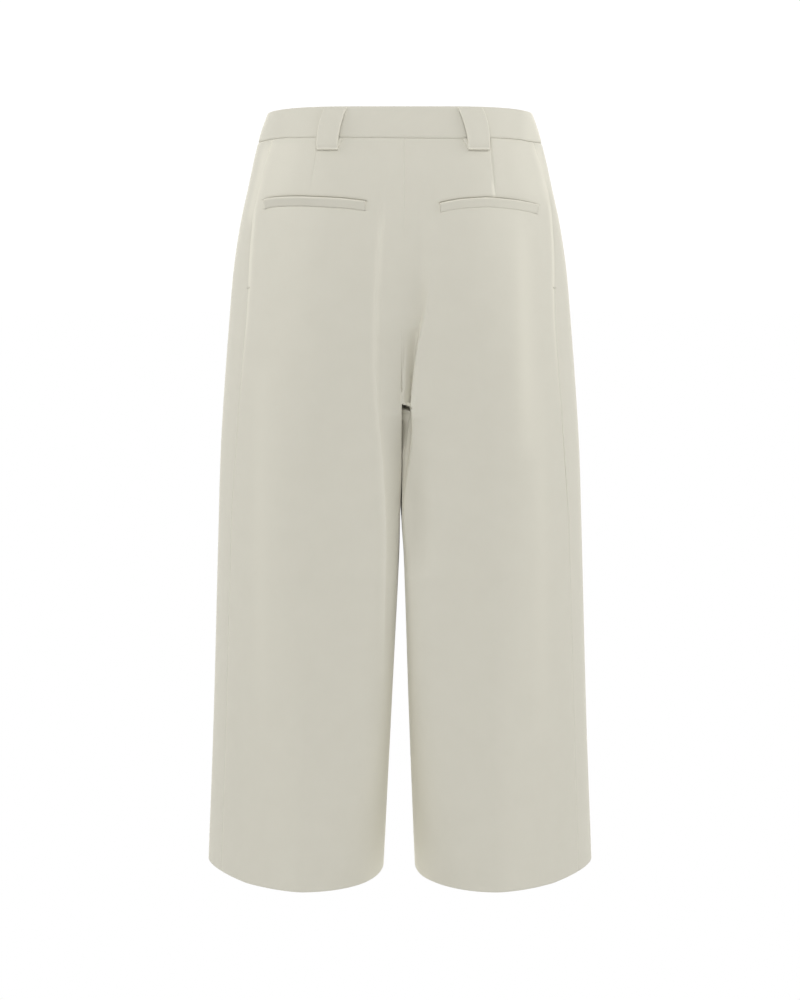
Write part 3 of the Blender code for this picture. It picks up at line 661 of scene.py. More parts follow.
def threadMaterial(name, colour):
    made, tree, shader = blankMaterial(name)
    place = addNode(tree, "ShaderNodeTexCoord", (-900, 0))
    twist = addNode(tree, "ShaderNodeTexNoise", (-600, 0), Scale=2600.0, Detail=2.0)
    tree.links.new(place.outputs["Object"], twist.inputs["Vector"])
    tone = twoTone(tree, (-300, 100), twist.outputs["Fac"], darker(colour, 0.82), colour)
    tree.links.new(tone, shader.inputs["Base Color"])
    addBump(tree, (-300, -200), twist.outputs["Fac"], shader, Strength=0.5, Distance=0.00008)
    shader.inputs["Roughness"].default_value = 0.55
    shader.inputs["Sheen Weight"].default_value = 0.2
    return made


def metalMaterial(name, colour):
    made, tree, shader = blankMaterial(name)
    place = addNode(tree, "ShaderNodeTexCoord", (-900, 0))
    scuff = addNode(tree, "ShaderNodeTexNoise", (-600, 0), Scale=420.0, Detail=5.0, Roughness=0.7)
    tree.links.new(place.outputs["Object"], scuff.inputs["Vector"])
    tone = twoTone(tree, (-300, 120), scuff.outputs["Fac"], darker(colour, 0.8), colour)
    tree.links.new(tone, shader.inputs["Base Color"])
    roughBetween(tree, (-300, -100), scuff.outputs["Fac"], shader, 0.24, 0.46)
    shader.inputs["Metallic"].default_value = 1.0
    return made


def hornMaterial(name):
    # a horn-like button: long soft streaks in a warm grey
    made, tree, shader = blankMaterial(name)
    place = addNode(tree, "ShaderNodeTexCoord", (-1000, 0))
    stretch = addNode(tree, "ShaderNodeMapping", (-800, 0))
    stretch.inputs["Scale"].default_value = (60.0, 60.0, 260.0)
    streak = addNode(tree, "ShaderNodeTexNoise", (-600, 0), Scale=1.0, Detail=6.0, Roughness=0.6)
    tree.links.new(place.outputs["Object"], stretch.inputs["Vector"])
    tree.links.new(stretch.outputs[0], streak.inputs["Vector"])
    tone = addNode(tree, "ShaderNodeValToRGB", (-360, 80))
    tone.color_ramp.elements[0].position = 0.30
    tone.color_ramp.elements[0].color = (0.400, 0.355, 0.270, 1.0)
    tone.color_ramp.elements[1].position = 0.72
    tone.color_ramp.elements[1].color = (0.640, 0.605, 0.520, 1.0)
    tree.links.new(streak.outputs["Fac"], tone.inputs["Fac"])
    tree.links.new(tone.outputs["Color"], shader.inputs["Base Color"])
    roughBetween(tree, (-360, -160), streak.outputs["Fac"], shader, 0.26, 0.42)
    return made


print("materials")
weaveGroup = makeWeaveGroup()
suitingCloth = clothMaterial("suitingCloth", suiting, weaveGroup)
bandFinish = clothMaterial("suitingCrossGrain", suiting, weaveGroup)
# the welts' cloth is painted darker than the suiting, a painted shade for faces that tilt down from the
# light
weltPaintedShade = clothMaterial(
    "suitingWeltPaintedShade",
    dict(suiting, light=(0.570, 0.553, 0.483, 1.0), dark=(0.516, 0.499, 0.429, 1.0)),
    weaveGroup,
)
zipTapeLook = dict(suiting, relief=0.00010, threads=1500.0)
zipTapeLook.update(light=(0.590, 0.570, 0.500, 1.0), dark=(0.500, 0.480, 0.410, 1.0))
zipTapeCloth = clothMaterial("zipTapeWeave", zipTapeLook, weaveGroup)
sewingThread = threadMaterial("sewingThread", (0.620, 0.598, 0.515, 1.0))
zipMetal = metalMaterial("satinZipMetal", (0.640, 0.625, 0.590, 1.0))
buttonHorn = hornMaterial("buttonHorn")

# the stitching that holds the fly's facing runs down beside the opening and round to its end
fly = {
    "x": 0.0300,
    "turnsIn": -0.1180,
    "end": -0.1570,
    "endX": 0.0010,
    "lap": 0.0007,  # how far the right front stands over the left
    "lapReach": 0.006,
    "underLap": 0.6,  # the share of it that the left front sinks by
    "underReach": 0.005,
    "passUnder": 0.0024,  # how far the right front stands off to pass under the band's lapped end
    "passRun": (-0.070, -0.018),
    "sunk": 0.00035,  # how deep the stitching lies in the cloth
    "sunkReach": 0.0009,
    "stitch": 0.0026,
    "gap": 0.0007,
    "thread": 0.00026,
    "stitchTop": -0.0175,
    "stitchSunk": 0.00012,  # how deep the ends of a stitch lie
    "stitchBow": 0.00026,  # how far its middle stands up from them
}

band = {
    "wall": 0.0024,
    "lap": 0.030,  # how far the right end runs past the front
    "under": 0.004,
    "liftRun": 0.045,
    "sideDip": 0.0024,
    "raise": 0.0006,
    "columns": 620,
    "edge": 0.0011,  # how round its top edge is
    "roll": 0.0007,  # how far its lower edge turns in
    "crown": 0.0004,  # how much it swells between its edges
    "endRound": 0.0016,
    "endThin": 0.6,  # how much thinner it is at its two ends
    "paintedHighlight": 0.45,  # a painted highlight over its right hip
    "highlightAcross": (-0.116, -0.130),
    "highlightDepth": (-0.060, -0.020),
}

# the four leg panels

panelPlan = {
    "baseRows": 320,  # level rows that a panel's surface is measured on
    "baseSteps": 420,  # points on each half of such a row
    "rowStep": 0.0029,
    "frontRows": 1.2,  # how much coarser the rows are in front
    "columnStep": {"back": 0.0026 * 0.86, "front": 0.0026 * 1.15},
    "wallRun": 0.030,  # the part of the inner wall nearest the face
    "wallShare": 0.7,
    "innerColumns": 14,  # over the inner wall's deeper part
    "wallColumns": 40,  # over the rest of it, which is 16 mm of face above the fork
    "firstColumns": 16,  # over the first stretch of the back's face
    "edgeRun": 0.006,  # the stretch with closer columns beside the side seam
    "edgeRoll": 0.0005,  # how far a sewn edge rolls in
    "edgeReach": 0.0009,
    "waistRoll": 0.0007,
    "waistRun": (-0.045, -0.016),  # the heights between which the waist seam's wandering grows
    "slitRow": -0.0735,  # the row that the pocket slit's arch bends
    "archRun": 0.013,  # how far above and below it the rows bend as much as the slit
    "archFade": 0.022,
    "slitDepth": 0.0030,
    "slitReach": 0.0006,
    "weltEnd": 0.0017,
    "hemTurn": 0.036,  # the depth of the hem that is folded up inside
    "hemStep": 0.0010,
    "hemEdge": 0.0015,  # how soft the fold's upper edge is
    "hemThin": 0.5,  # how much thinner the wall is right at the fold
    "hemThinReach": 0.0010,
    "hemRoll": 0.0005,  # how far the hem's fold turns in
    "hemRollReach": 0.0008,
    "hemShows": 0.00012,  # how far the folded edge shows through
    "hemShowsReach": 0.0035,
    # the heights between which the middle seams sink in
    "seamRun": {"back": (-0.130, -0.060), "front": (-0.170, -0.150)},
    "seamTwist": 0.010,  # how much further back the left side seam lies at the waist
}
# painted highlights: where the cloth is coloured a little lighter to stand in for light on the hips, the
# side seams, the seat's crest, a dart and the front
highlightPlan = {
    "hip": {"amount": 0.26, "span": (-0.010, -0.024, -0.062, -0.094), "fade": (0.060, 0.020)},
    "seam": {"amount": 0.80, "span": (-0.030, -0.060, -0.150, -0.300), "at": 0.0020, "reach": 0.0032},
    "crest": {"amount": 0.28, "span": (-0.070, -0.120, -0.400, -0.560), "at": 0.001, "reach": 0.0034},
    "dart": {"span": (-0.052, -0.064, -0.0735, -0.0745), "at": 0.0017, "reach": 0.0013},
    "front": {
        "amount": 0.78,
        "top": (-0.012, -0.028),
        "ends": {1: -0.106, -1: -0.074},
        "endRun": 0.024,
        "fade": (0.026, 0.008),
    },
}
# painted highlight along each side seam over its pocket
pocketHighlights = {1: {"amount": 0.50, "reach": 0.0055}, -1: {"amount": 0.75, "reach": 0.0080}}
# painted light along each leg's inner side towards the hem, where the inner quarters turn away and would be
# shaded
innerHighlight = named("height amount reach", (
    (-0.400, 0.00, 0.010),
    (-0.480, 0.40, 0.010),
    (-0.570, 0.93, 0.010),
    (-0.640, 1.00, 0.017),
    (-0.760, 1.00, 0.023),
))
# painted highlight streaks down the outer legs, where light catches soft crests
legHighlights = named("side top bottom xTop xBottom reach amount", (
    (-1, -0.086, -0.330, -0.118, -0.126, 0.010, 0.36),
    (-1, -0.250, -0.620, -0.139, -0.143, 0.008, 0.16),
    (1, -0.230, -0.600, 0.139, 0.139, 0.008, 0.14),
))
edgeSteps = np.array([0.0, 0.0003, 0.0006, 0.0010, 0.0015, 0.0022, 0.0033])
lineSteps = np.array([-0.0016, -0.0009, -0.0005, -0.0002, 0.0002, 0.0005, 0.0009, 0.0016])

# each back dart runs straight from the waist seam to its point, and its groove ends at flat
darts = {
    # paintedHighlight is how much lighter the cloth is painted beside the dart, a painted highlight
    1: {"xTop": 0.0796, "xEnd": 0.0885, "end": -0.074, "depth": 0.00036, "flat": -0.070, "paintedHighlight": 0.0},
    -1: {"xTop": 0.0878, "xEnd": 0.0936, "end": -0.074, "depth": 0.00065, "flat": -0.078, "paintedHighlight": 0.8},
}
# each groove's half width, the run over which it fades out, and the swell beside it
dartForm = {"reach": 0.0007, "fade": 0.024, "swell": 0.6, "swellAt": 0.0034, "swellReach": 0.0030}

# the welts of the back pockets and the slit above each
welts = {
    "height": 0.0091,
    "columns": 150,
    "endRound": 0.0010,
    "sunk": 0.0003,  # how far its inside lies in the panel
    "foldHighlight": 0.75,  # how much lighter its fold is painted, a painted highlight
    "foldOut": 0.0018,
    "foldDrop": 0.0006,
    "foldReach": 0.0010,
    "highlightEnd": (0.0008, 0.0018),
}
pockets = {
    1: {
        "xInner": 0.0335,
        "xOuter": 0.1337,
        "groove": 0.00045,  # how deep the welt's foot is sewn in
        "paintedHighlight": 0.20,  # how much lighter its welt is painted, a painted highlight
        "highlightAcross": (0.095, 0.065),
        "x": (0.0335, 0.0590, 0.0828, 0.1007, 0.1148, 0.1270, 0.1337),
        "z": (-0.0767, -0.0739, -0.0726, -0.0718, -0.0720, -0.0729, -0.0745),
    },
    -1: {
        "xInner": 0.0390,
        "xOuter": 0.1358,
        "groove": 0.00015,
        "paintedHighlight": 0.30,
        "highlightAcross": (0.160, 0.150),
        "x": (0.0390, 0.0491, 0.0607, 0.0739, 0.0855, 0.0972, 0.1122, 0.1258, 0.1358),
        "z": (-0.0785, -0.0764, -0.0746, -0.0736, -0.0730, -0.0738, -0.0753, -0.0774, -0.0794),
    },
}

# the side pockets lie in the side seams
sidePocket = {
    "top": -0.0580,
    "bottom": -0.1580,
    "ends": 0.004,  # the stretch over which a mouth closes
    "gape": 0.0014,  # how far the front edge of a mouth sinks
    "gapeReach": 0.006,
    "lip": 0.0013,  # how far its back edge stands up
    "lipAt": 0.0014,
    "lipReach": 0.0018,
    "hip": 0.0022,  # how far the cloth swells over it
    "hipReach": 0.011,
    "hipSpan": (-0.020, -0.050, -0.066, -0.110),
    "stitched": 0.0003,  # how deep the line beside the front edge lies
    "stitchedAt": 0.0055,
    "stitchedReach": 0.0008,
}

# how far the waist seam wanders up behind, by x
waistSeam = named("x rise", (
    (-0.1440, -0.0012),
    (-0.1330, -0.0013),
    (-0.1270, -0.0010),
    (-0.1190, 0.0000),
    (-0.0930, 0.0008),
    (-0.0500, -0.0002),
    (0.0000, 0.0002),
    (0.0400, 0.0006),
    (0.0990, 0.0012),
    (0.1140, 0.0016),
    (0.1250, 0.0010),
    (0.1370, 0.0000),
    (0.1440, -0.0002),
))


def seamRise(x, y):
    rise = smoothCurve([row["x"] for row in waistSeam], [row["rise"] for row in waistSeam], x)
    return rise * ramp(y, -0.040, 0.000)


def flyRise(x, z):
    # how far the right front stands off to pass under the band's lapped end
    beside = ramp(x, band["under"] + band["liftRun"], band["under"])
    return fly["passUnder"] * beside * ramp(z, *fly["passRun"])


def slitHeight(side, x):
    # the arch of the pocket slit, going on level past its ends
    return smoothCurve(pockets[side]["x"], pockets[side]["z"], x)


def dartLine(side, z):
    # how far to its side of the middle a dart lies at a height
    dart = darts[side]
    down = np.clip((cloth["bandBottom"] - z) / (cloth["bandBottom"] - dart["end"]), 0, 1)
    return dart["xTop"] + (dart["xEnd"] - dart["xTop"]) * down


def sideSeamShare(side, height):
    # the share of the way round a leg at which its side seam lies
    twist = side * panelPlan["seamTwist"] * float(ramp(height, -0.240, -0.030))
    return float(columnCurve(legShape, "sideSeam", height)) - twist


def evenly(start, end, step):
    return np.linspace(start, end, max(2, int(round(abs(end - start) / step)) + 1))


def panelRows(face):
    # heights down a panel, closer at the waist seam, along a pocket slit and at the hem
    top = cloth["bandBottom"] - cloth["seamGap"]
    hem = cloth["hem"]
    step = panelPlan["rowStep"]
    if face == "front":
        even = evenly(top - 0.006, hem + 0.006, step * panelPlan["frontRows"])
        return np.concatenate([top - edgeSteps, even, hem + edgeSteps[::-1]])
    slit = panelPlan["slitRow"]
    weltFoot = slit - welts["height"]
    fork = cloth["fork"]
    return np.concatenate([
        top - edgeSteps,
        evenly(top - 0.006, slit + 0.004, step),
        slit - lineSteps,
        evenly(slit - 0.004, weltFoot + 0.003, step),
        weltFoot - lineSteps,
        evenly(weltFoot - 0.004, fork + 0.012, step),
        evenly(fork + 0.010, fork - 0.008, 0.0006),
        evenly(fork - 0.010, hem + 0.006, step),
        hem + edgeSteps[::-1],
    ])


def columnStretches(side, face, height, x, travelled):
    # the stretches of even columns across a panel's face, and where the fine line between the
    # last two lies: a dart or the fly's stitching
    start = travelled[0]
    end = travelled[-1]
    last = end - panelPlan["edgeRun"]
    if face == "back":
        lineAt = np.interp(dartLine(side, height), side * x, travelled)
        below = np.clip((darts[side]["end"] - height) / 0.3, 0, 1)
        lineAt += (start + 0.45 * (end - start) - lineAt) * below
        return [(start, start + 0.014), (start + 0.016, lineAt - 0.004), (lineAt + 0.004, last)], lineAt
    if side < 0:
        lineAt = max(np.interp(fly["x"], side * x, travelled), start + 0.006)
        return [(start, lineAt - 0.003), (lineAt + 0.003, last)], lineAt
    return [(start, last)], None


def panelBase(side, face):
    # a panel's surface on level rows, and how far each point lies from the side seam
    heights = np.linspace(cloth["bandTop"], cloth["hem"], panelPlan["baseRows"])
    steps = panelPlan["baseSteps"]
    middle = 0 if face == "back" else 1
    faceShare = abs(middle - layout["innerShare"])
    base = []
    grain = []
    counts = []
    for height in heights:
        fine = np.concatenate([
            np.linspace(middle, faceShare, steps, endpoint=False),
            np.linspace(faceShare, sideSeamShare(side, height), steps),
        ])
        ring = halfRing(height, side, fine)
        travelled = travelledAlong(ring)
        faceStart = travelled[steps]
        stretches, lineAt = columnStretches(side, face, height, ring[steps:, 0], travelled[steps:])
        if not counts:
            counts = [len(evenly(a, b, panelPlan["columnStep"][face])) for a, b in stretches]
            if face == "back":
                counts[0] = panelPlan["firstColumns"]
        wallStart = faceStart - min(panelPlan["wallRun"], panelPlan["wallShare"] * faceStart)
        places = [
            np.linspace(0, wallStart, panelPlan["innerColumns"], endpoint=False),
            np.linspace(wallStart, faceStart, panelPlan["wallColumns"], endpoint=False),
        ]
        for number, (a, b) in enumerate(stretches):
            places.append(np.linspace(a, b, counts[number]))
            if number == len(stretches) - 2:
                places.append(lineAt + lineSteps)
        places.append(travelled[-1] - edgeSteps[::-1])
        places = np.concatenate(places)
        spots = np.column_stack([np.interp(places, travelled, ring[:, i]) for i in range(2)])
        base.append(np.column_stack([spots, height + hemRise(spots[:, 0], height)]))
        grain.append(places - travelled[-1])
    return heights[::-1], np.array(base)[::-1], np.array(grain)[::-1]


def panelSurface(side, face):
    # the surface on the panel's own rows, which bend along the pocket slit: its points, their
    # grain across, the level of each and the rows' heights
    heights, base, grain = panelBase(side, face)
    rows = panelRows(face)
    columns = base.shape[1]
    level = np.repeat(rows[:, None], columns, axis=1)
    if face == "back":
        slit = panelPlan["slitRow"]
        near = np.array([np.interp(slit, heights, base[:, c, 0]) for c in range(columns)])
        bend = bell(np.clip(np.abs(level - slit) - panelPlan["archRun"], 0, None), panelPlan["archFade"])
        level += (slitHeight(side, side * near) - slit) * bend
    outer = np.empty((len(rows), columns, 3))
    across = np.empty((len(rows), columns))
    for c in range(columns):
        for i in range(3):
            outer[:, c, i] = np.interp(level[:, c], heights, base[:, c, i])
        across[:, c] = np.interp(level[:, c], heights, grain[:, c])
    return outer, across, level, rows


def backRelief(side, x, z, fromSide, mouth):
    # the side pocket's lip, the dart, the pocket slit and the seams round its welt; x is its
    # distance to this side of the middle
    relief = sidePocket["lip"] * mouth * bell(fromSide - sidePocket["lipAt"], sidePocket["lipReach"])
    relief += sidePocket["hip"] * span(z, sidePocket["hipSpan"]) * bell(fromSide, sidePocket["hipReach"])
    dart = darts[side]
    offDart = x - dartLine(side, z)
    depth = dart["depth"] * ramp(z, dart["flat"], dart["flat"] + dartForm["fade"])
    relief -= depth * bell(offDart, dartForm["reach"])
    relief += dartForm["swell"] * depth * bell(offDart - dartForm["swellAt"], dartForm["swellReach"])
    pocket = pockets[side]
    below = slitHeight(side, x) - z
    within = ramp(x, pocket["xInner"] - 0.001, pocket["xInner"] + 0.001)
    within *= ramp(x, pocket["xOuter"] + 0.001, pocket["xOuter"] - 0.001)
    relief -= panelPlan["slitDepth"] * within * bell(below, panelPlan["slitReach"])
    relief -= pocket["groove"] * within * bell(below - welts["height"] - 0.0001, 0.0006)
    beside = ramp(below, -0.0005, 0.0005)
    beside *= ramp(below, welts["height"] + 0.0010, welts["height"] - 0.0002)
    for end in ("xInner", "xOuter"):
        relief -= panelPlan["weltEnd"] * beside * bell(x - pocket[end], 0.0008)
    return relief


def frontRelief(side, x, z, fromMiddle, fromSide, mouth, inPocket):
    # the side pocket's gaping edge and the line beside it, and the fly
    relief = -sidePocket["gape"] * mouth * ramp(fromSide, sidePocket["gapeReach"], 0.0)
    line = bell(fromSide - sidePocket["stitchedAt"], sidePocket["stitchedReach"])
    relief -= sidePocket["stitched"] * inPocket * line
    opening = ramp(z, fly["end"] - 0.004, fly["end"] + 0.012)
    if side > 0:
        return relief - fly["underLap"] * fly["lap"] * opening * bell(fromMiddle, fly["underReach"])
    # the right front laps over the left, with its stitching sunk in
    relief += flyRise(fromMiddle, z)
    relief += fly["lap"] * opening * bell(fromMiddle, fly["lapReach"])
    width = fly["x"] - fly["endX"]
    across = (x - fly["endX"]) / width
    low = np.clip(z - fly["turnsIn"], None, 0) / (fly["end"] - fly["turnsIn"])
    return relief - fly["sunk"] * bell((np.hypot(across, low) - 1) * width, fly["sunkReach"]) * opening


def panelRelief(side, face, x, z, fromMiddle, fromSide):
    # how far the fine forms move a panel's surface out or in
    roll = panelPlan["edgeRoll"]
    reach = panelPlan["edgeReach"]
    relief = -0.5 * roll * ramp(z, *panelPlan["seamRun"][face]) * bell(fromMiddle, 0.7 * reach)
    top = sidePocket["top"]
    bottom = sidePocket["bottom"]
    inPocket = ramp(z, bottom - sidePocket["ends"], bottom) * ramp(z, top + sidePocket["ends"], top)
    relief -= roll * (1 - inPocket) * bell(fromSide, reach)
    mouth = np.sin(math.pi * np.clip((top - z) / (top - bottom), 0, 1)) ** 0.7
    if face == "back":
        relief += backRelief(side, side * x, z, fromSide, mouth)
    else:
        relief += frontRelief(side, np.abs(x), z, fromMiddle, fromSide, mouth, inPocket)
    relief -= panelPlan["waistRoll"] * bell(cloth["bandBottom"] - cloth["seamGap"] - z, 1.2 * reach)
    fromHem = z - cloth["hem"]
    relief -= panelPlan["hemRoll"] * bell(fromHem, panelPlan["hemRollReach"])
    relief += panelPlan["hemShows"] * bell(fromHem - panelPlan["hemTurn"], panelPlan["hemShowsReach"])
    return relief


def paintedHighlights(side, face, x, z, fromSide):
    # how much lighter the cloth is painted at each point, as painted highlights
    hip, seam, crest, dart, front = (highlightPlan[name] for name in ("hip", "seam", "crest", "dart", "front"))
    if face == "front":
        foot = front["ends"][side]
        along = ramp(z, *front["top"]) * ramp(z, foot, foot + front["endRun"])
        return front["amount"] * along * ramp(fromSide, *front["fade"])
    pocketMark = pocketHighlights[side]
    overHip = hip["amount"] * ramp(fromSide, *hip["fade"])
    overHip += pocketMark["amount"] * bell(fromSide, pocketMark["reach"])
    besideSeam = span(z, seam["span"]) * bell(fromSide - seam["at"], seam["reach"])
    marks = np.maximum(overHip * span(z, hip["span"]), seam["amount"] * besideSeam)
    fromInner = np.abs(x - columnCurve(bodyShape, "middle", z)) - columnCurve(legShape, "inner", z)
    marks += columnCurve(innerHighlight, "amount", z) * bell(fromInner, columnCurve(innerHighlight, "reach", z))
    for mark in legHighlights:
        if mark["side"] == side:
            part = np.clip((mark["top"] - z) / (mark["top"] - mark["bottom"]), 0, 1)
            path = mark["xTop"] + (mark["xBottom"] - mark["xTop"]) * part
            marks += mark["amount"] * bell(x - path, mark["reach"]) * np.sin(math.pi * part) ** 0.5
    fromCrest = x - columnCurve(seatHollow, "leftEdge", z) - crest["at"]
    marks += crest["amount"] * span(z, crest["span"]) * bell(fromCrest, crest["reach"])
    besideDart = bell(side * x - dartLine(side, z) + dart["at"], dart["reach"])
    marks += darts[side]["paintedHighlight"] * span(z, dart["span"]) * besideDart
    return marks


def gridArea(grid):
    # two triangles for each cell
    corner, beside, below, far = grid[:-1, :-1], grid[:-1, 1:], grid[1:, :-1], grid[1:, 1:]
    first = np.linalg.norm(np.cross(below - corner, beside - corner), axis=2)
    second = np.linalg.norm(np.cross(below - far, beside - far), axis=2)
    return 0.5 * (first + second).sum()


def legPanel(side, face):
    outer, across, level, rows = panelSurface(side, face)
    way = side if face == "back" else -side
    outer = folded(outer, way)
    outer[..., 2] += seamRise(outer[..., 0], outer[..., 1]) * ramp(level, *panelPlan["waistRun"])
    normal = gridNormals(outer, way)
    runs = np.linalg.norm(np.diff(outer, axis=1), axis=2)
    fromMiddle = np.concatenate([np.zeros((len(rows), 1)), np.cumsum(runs, axis=1)], axis=1)
    fromSide = fromMiddle[:, -1:] - fromMiddle
    relief = panelRelief(side, face, outer[..., 0], level, fromMiddle, fromSide)
    # the painted highlights that lighten the panel's colour
    marks = paintedHighlights(side, face, outer[..., 0], level, fromSide)
    outer = outer + normal * relief[..., None]
    # the hem is folded up inside, and its edge is thinner
    fromHem = level - cloth["hem"]
    turn = panelPlan["hemTurn"]
    edge = panelPlan["hemEdge"]
    thick = cloth["wall"] + panelPlan["hemStep"] * ramp(fromHem, turn + edge, turn - edge)
    thick = thick - panelPlan["hemThin"] * thick * bell(fromHem, panelPlan["hemThinReach"])
    inner = outer - normal * thick[..., None]
    uv = np.stack([across, level], axis=2)
    name = f"{face}Panel{sideWord(side)}"
    piece = walledPiece(name, outer, inner, uv, suitingCloth, smooth=50, paintedHighlight=marks)
    onBody(piece, "suiting", f"{face}_{sideWord(side).lower()}")
    width = fromMiddle[:, -1].max()
    print(f"  {name}: {width:.3f} x {rows[0] - rows[-1]:.3f} m, {gridArea(outer):.4f} m2")
    return piece


print("leg panels")
for sideNow in (1, -1):
    for faceNow in ("back", "front"):
        panel = legPanel(sideNow, faceNow)

# parts that lie on the panels over the hips

laying = {"bottom": -0.200, "zStep": 0.0015, "xStep": 0.0010, "widest": 0.151}
references = {}


def referenceTable(face):
    # the surface over the hips on even steps of x and z, with its normals, to lay parts on
    heights = np.arange(cloth["bandTop"], laying["bottom"], -laying["zStep"])
    shares = np.linspace(0, 0.5, 300) + (0.0 if face == "back" else 0.5)
    halves = []
    for side in (-1, 1):
        grid = surfaceGrid(side, heights, shares)
        halves.append(np.concatenate([grid, gridNormals(grid, side)], axis=2))
    across = np.arange(-laying["widest"], laying["widest"] + laying["xStep"], laying["xStep"])
    rows = []
    for right, left in zip(*halves):
        both = np.vstack([right, left])
        both = both[np.argsort(both[:, 0])]
        rows.append(np.column_stack([np.interp(across, both[:, 0], both[:, i]) for i in range(6)]))
    return np.array(rows)


def onSurface(side, face, x, z, out):
    # points over the back or front at distances x to one side of the middle, standing off by out
    if face not in references:
        references[face] = referenceTable(face)
    table = references[face]
    x, z, out = np.broadcast_arrays(np.asarray(x, float), z, out)
    row = np.clip((cloth["bandTop"] - z) / laying["zStep"], 0, len(table) - 1.001)
    column = np.clip((side * x + laying["widest"]) / laying["xStep"], 0, table.shape[1] - 1.001)
    r = row.astype(int)
    c = column.astype(int)
    down = (row - r)[..., None]
    over = (column - c)[..., None]
    above = table[r, c] * (1 - over) + table[r, c + 1] * over
    below = table[r + 1, c] * (1 - over) + table[r + 1, c + 1] * over
    both = above * (1 - down) + below * down
    way = both[..., 3:] / np.linalg.norm(both[..., 3:], axis=-1, keepdims=True)
    return both[..., :3] + way * out[..., None]


def tube(path, radii, sides=8, flat=1.0):
    # the points and faces of a closed tube along a path; flat squashes it towards the cloth
    path = np.asarray(path, float)
    way = np.gradient(path, axis=0)
    way /= np.linalg.norm(way, axis=1, keepdims=True)
    away = path * (1, 1, 0)
    away /= np.linalg.norm(away, axis=1, keepdims=True)
    beside = np.cross(way, away)
    beside /= np.linalg.norm(beside, axis=1, keepdims=True)
    away = np.cross(beside, way)
    turn = 2 * math.pi * np.arange(sides) / sides
    radii = np.broadcast_to(radii, len(path))
    ring = beside[:, None] * np.cos(turn)[:, None] + flat * away[:, None] * np.sin(turn)[:, None]
    points = (path[:, None] + ring * radii[:, None, None]).reshape(-1, 3)
    caps = endCaps(len(points), sides)
    return np.vstack([points, path[0], path[-1]]), quadFaces(len(path), sides, closed=True), caps


def joinedPiece(name, parts, finish, smooth=50):
    # one piece from the points, quads and triangles of many
    points = []
    quads = []
    triangles = []
    first = 0
    for spots, faces, caps in parts:
        points.append(spots)
        quads.append(faces + first)
        triangles.append(caps + first)
        first += len(spots)
    return meshPiece(name, np.vstack(points), np.vstack(quads), np.vstack(triangles), finish, smooth=smooth)


def sweptPiece(name, loops, uv, marks, finish):
    # a closed skin through loops of points, one after another, with both ends capped
    rows, around = loops.shape[:2]
    points = np.vstack([loops.reshape(-1, 3), loops[0].mean(axis=0), loops[-1].mean(axis=0)])
    uv = np.vstack([uv.reshape(-1, 2), uv[0].mean(axis=0), uv[-1].mean(axis=0)])
    marks = np.append(marks.ravel(), [0, 0])
    skin = quadFaces(rows, around, closed=True)
    return meshPiece(name, points, skin, endCaps(rows * around, around), finish, uv, 60, marks)


# the waistband


def bandLine(height, shares):
    # along the band: from under the lap, round the left side, the back and the right side
    left = halfRing(height, 1, np.linspace(1, 0, 700))
    right = halfRing(height, -1, np.linspace(0, 1, 700))
    whole = np.vstack([left, right, left[:1]])
    travelled = travelledAlong(whole)
    length = travelled[-1]
    at = -band["under"] + shares * (length + band["lap"] + band["under"])
    spots = np.mod(at, length)
    return np.column_stack([np.interp(spots, travelled, whole[:, i]) for i in range(2)]), at - length


def bandProfile():
    # the band's cross-section, from its lower edge up the outside, over the top and down inside:
    # how far up each point lies, as a share, and how far it stands off
    wall = band["wall"]
    profile = []
    for part in (0.0, 0.012, 0.030, 0.055, 0.10):
        profile.append((part, -band["roll"] * bell(part, 0.028)))
    for part in np.linspace(0.16, 0.90, 11):
        profile.append((part, band["crown"] * math.sin(math.pi * part)))
    edge = band["edge"] / (cloth["bandTop"] - cloth["bandBottom"])
    for angle in np.linspace(0, math.pi, 9):
        profile.append((1 - edge + edge * math.sin(angle), -wall / 2 + wall / 2 * math.cos(angle)))
    for part in (0.86, 0.6, 0.3, 0.06, 0.0):
        profile.append((part, -wall))
    return profile


def waistband():
    shares = np.linspace(0, 1, band["columns"])
    count = len(shares)
    depth = cloth["bandTop"] - cloth["bandBottom"]
    rings = []
    uv = []
    marks = []
    for part, out in bandProfile():
        height = cloth["bandBottom"] + depth * part
        line, pastFront = bandLine(height, shares)
        way = np.gradient(line, axis=0)
        facing = np.column_stack([way[:, 1], -way[:, 0]])
        facing /= np.linalg.norm(facing, axis=1, keepdims=True)
        lapped = ramp(pastFront, -band["under"] - band["liftRun"], -band["under"])
        lift = (band["wall"] + cloth["seamGap"]) * lapped
        travelled = pastFront - pastFront[0]
        toEnd = np.minimum(travelled, travelled[-1] - travelled)
        thin = 1 - band["endThin"] * bell(toEnd, band["endRound"])
        middle = -band["wall"] / 2
        stand = middle + (out - middle) * thin
        line = line + facing * (lift + stand)[:, None]
        across = np.clip(np.abs(line[:, 0]) / bodyShape[0]["halfWidth"], 0, 1)
        level = height + band["raise"] * part - band["sideDip"] * part * across**6
        level = level + (1 - part) * seamRise(line[:, 0], line[:, 1])
        rings.append(np.column_stack([line, level]))
        uv.append(np.column_stack([travelled, np.full(count, height)]))
        # painted highlight over the right hip, on the band's outer face
        hip = ramp(line[:, 0], *band["highlightAcross"]) * ramp(line[:, 1], *band["highlightDepth"])
        marks.append(band["paintedHighlight"] * hip * (out > -0.001))
    loops, uv, marks = (np.stack(part, axis=1) for part in (rings, uv, marks))
    piece = sweptPiece("bandCloth", loops, uv, marks, bandFinish)
    onBody(piece, "suiting", "waistband")


print("waistband")
waistband()

# the belt loops

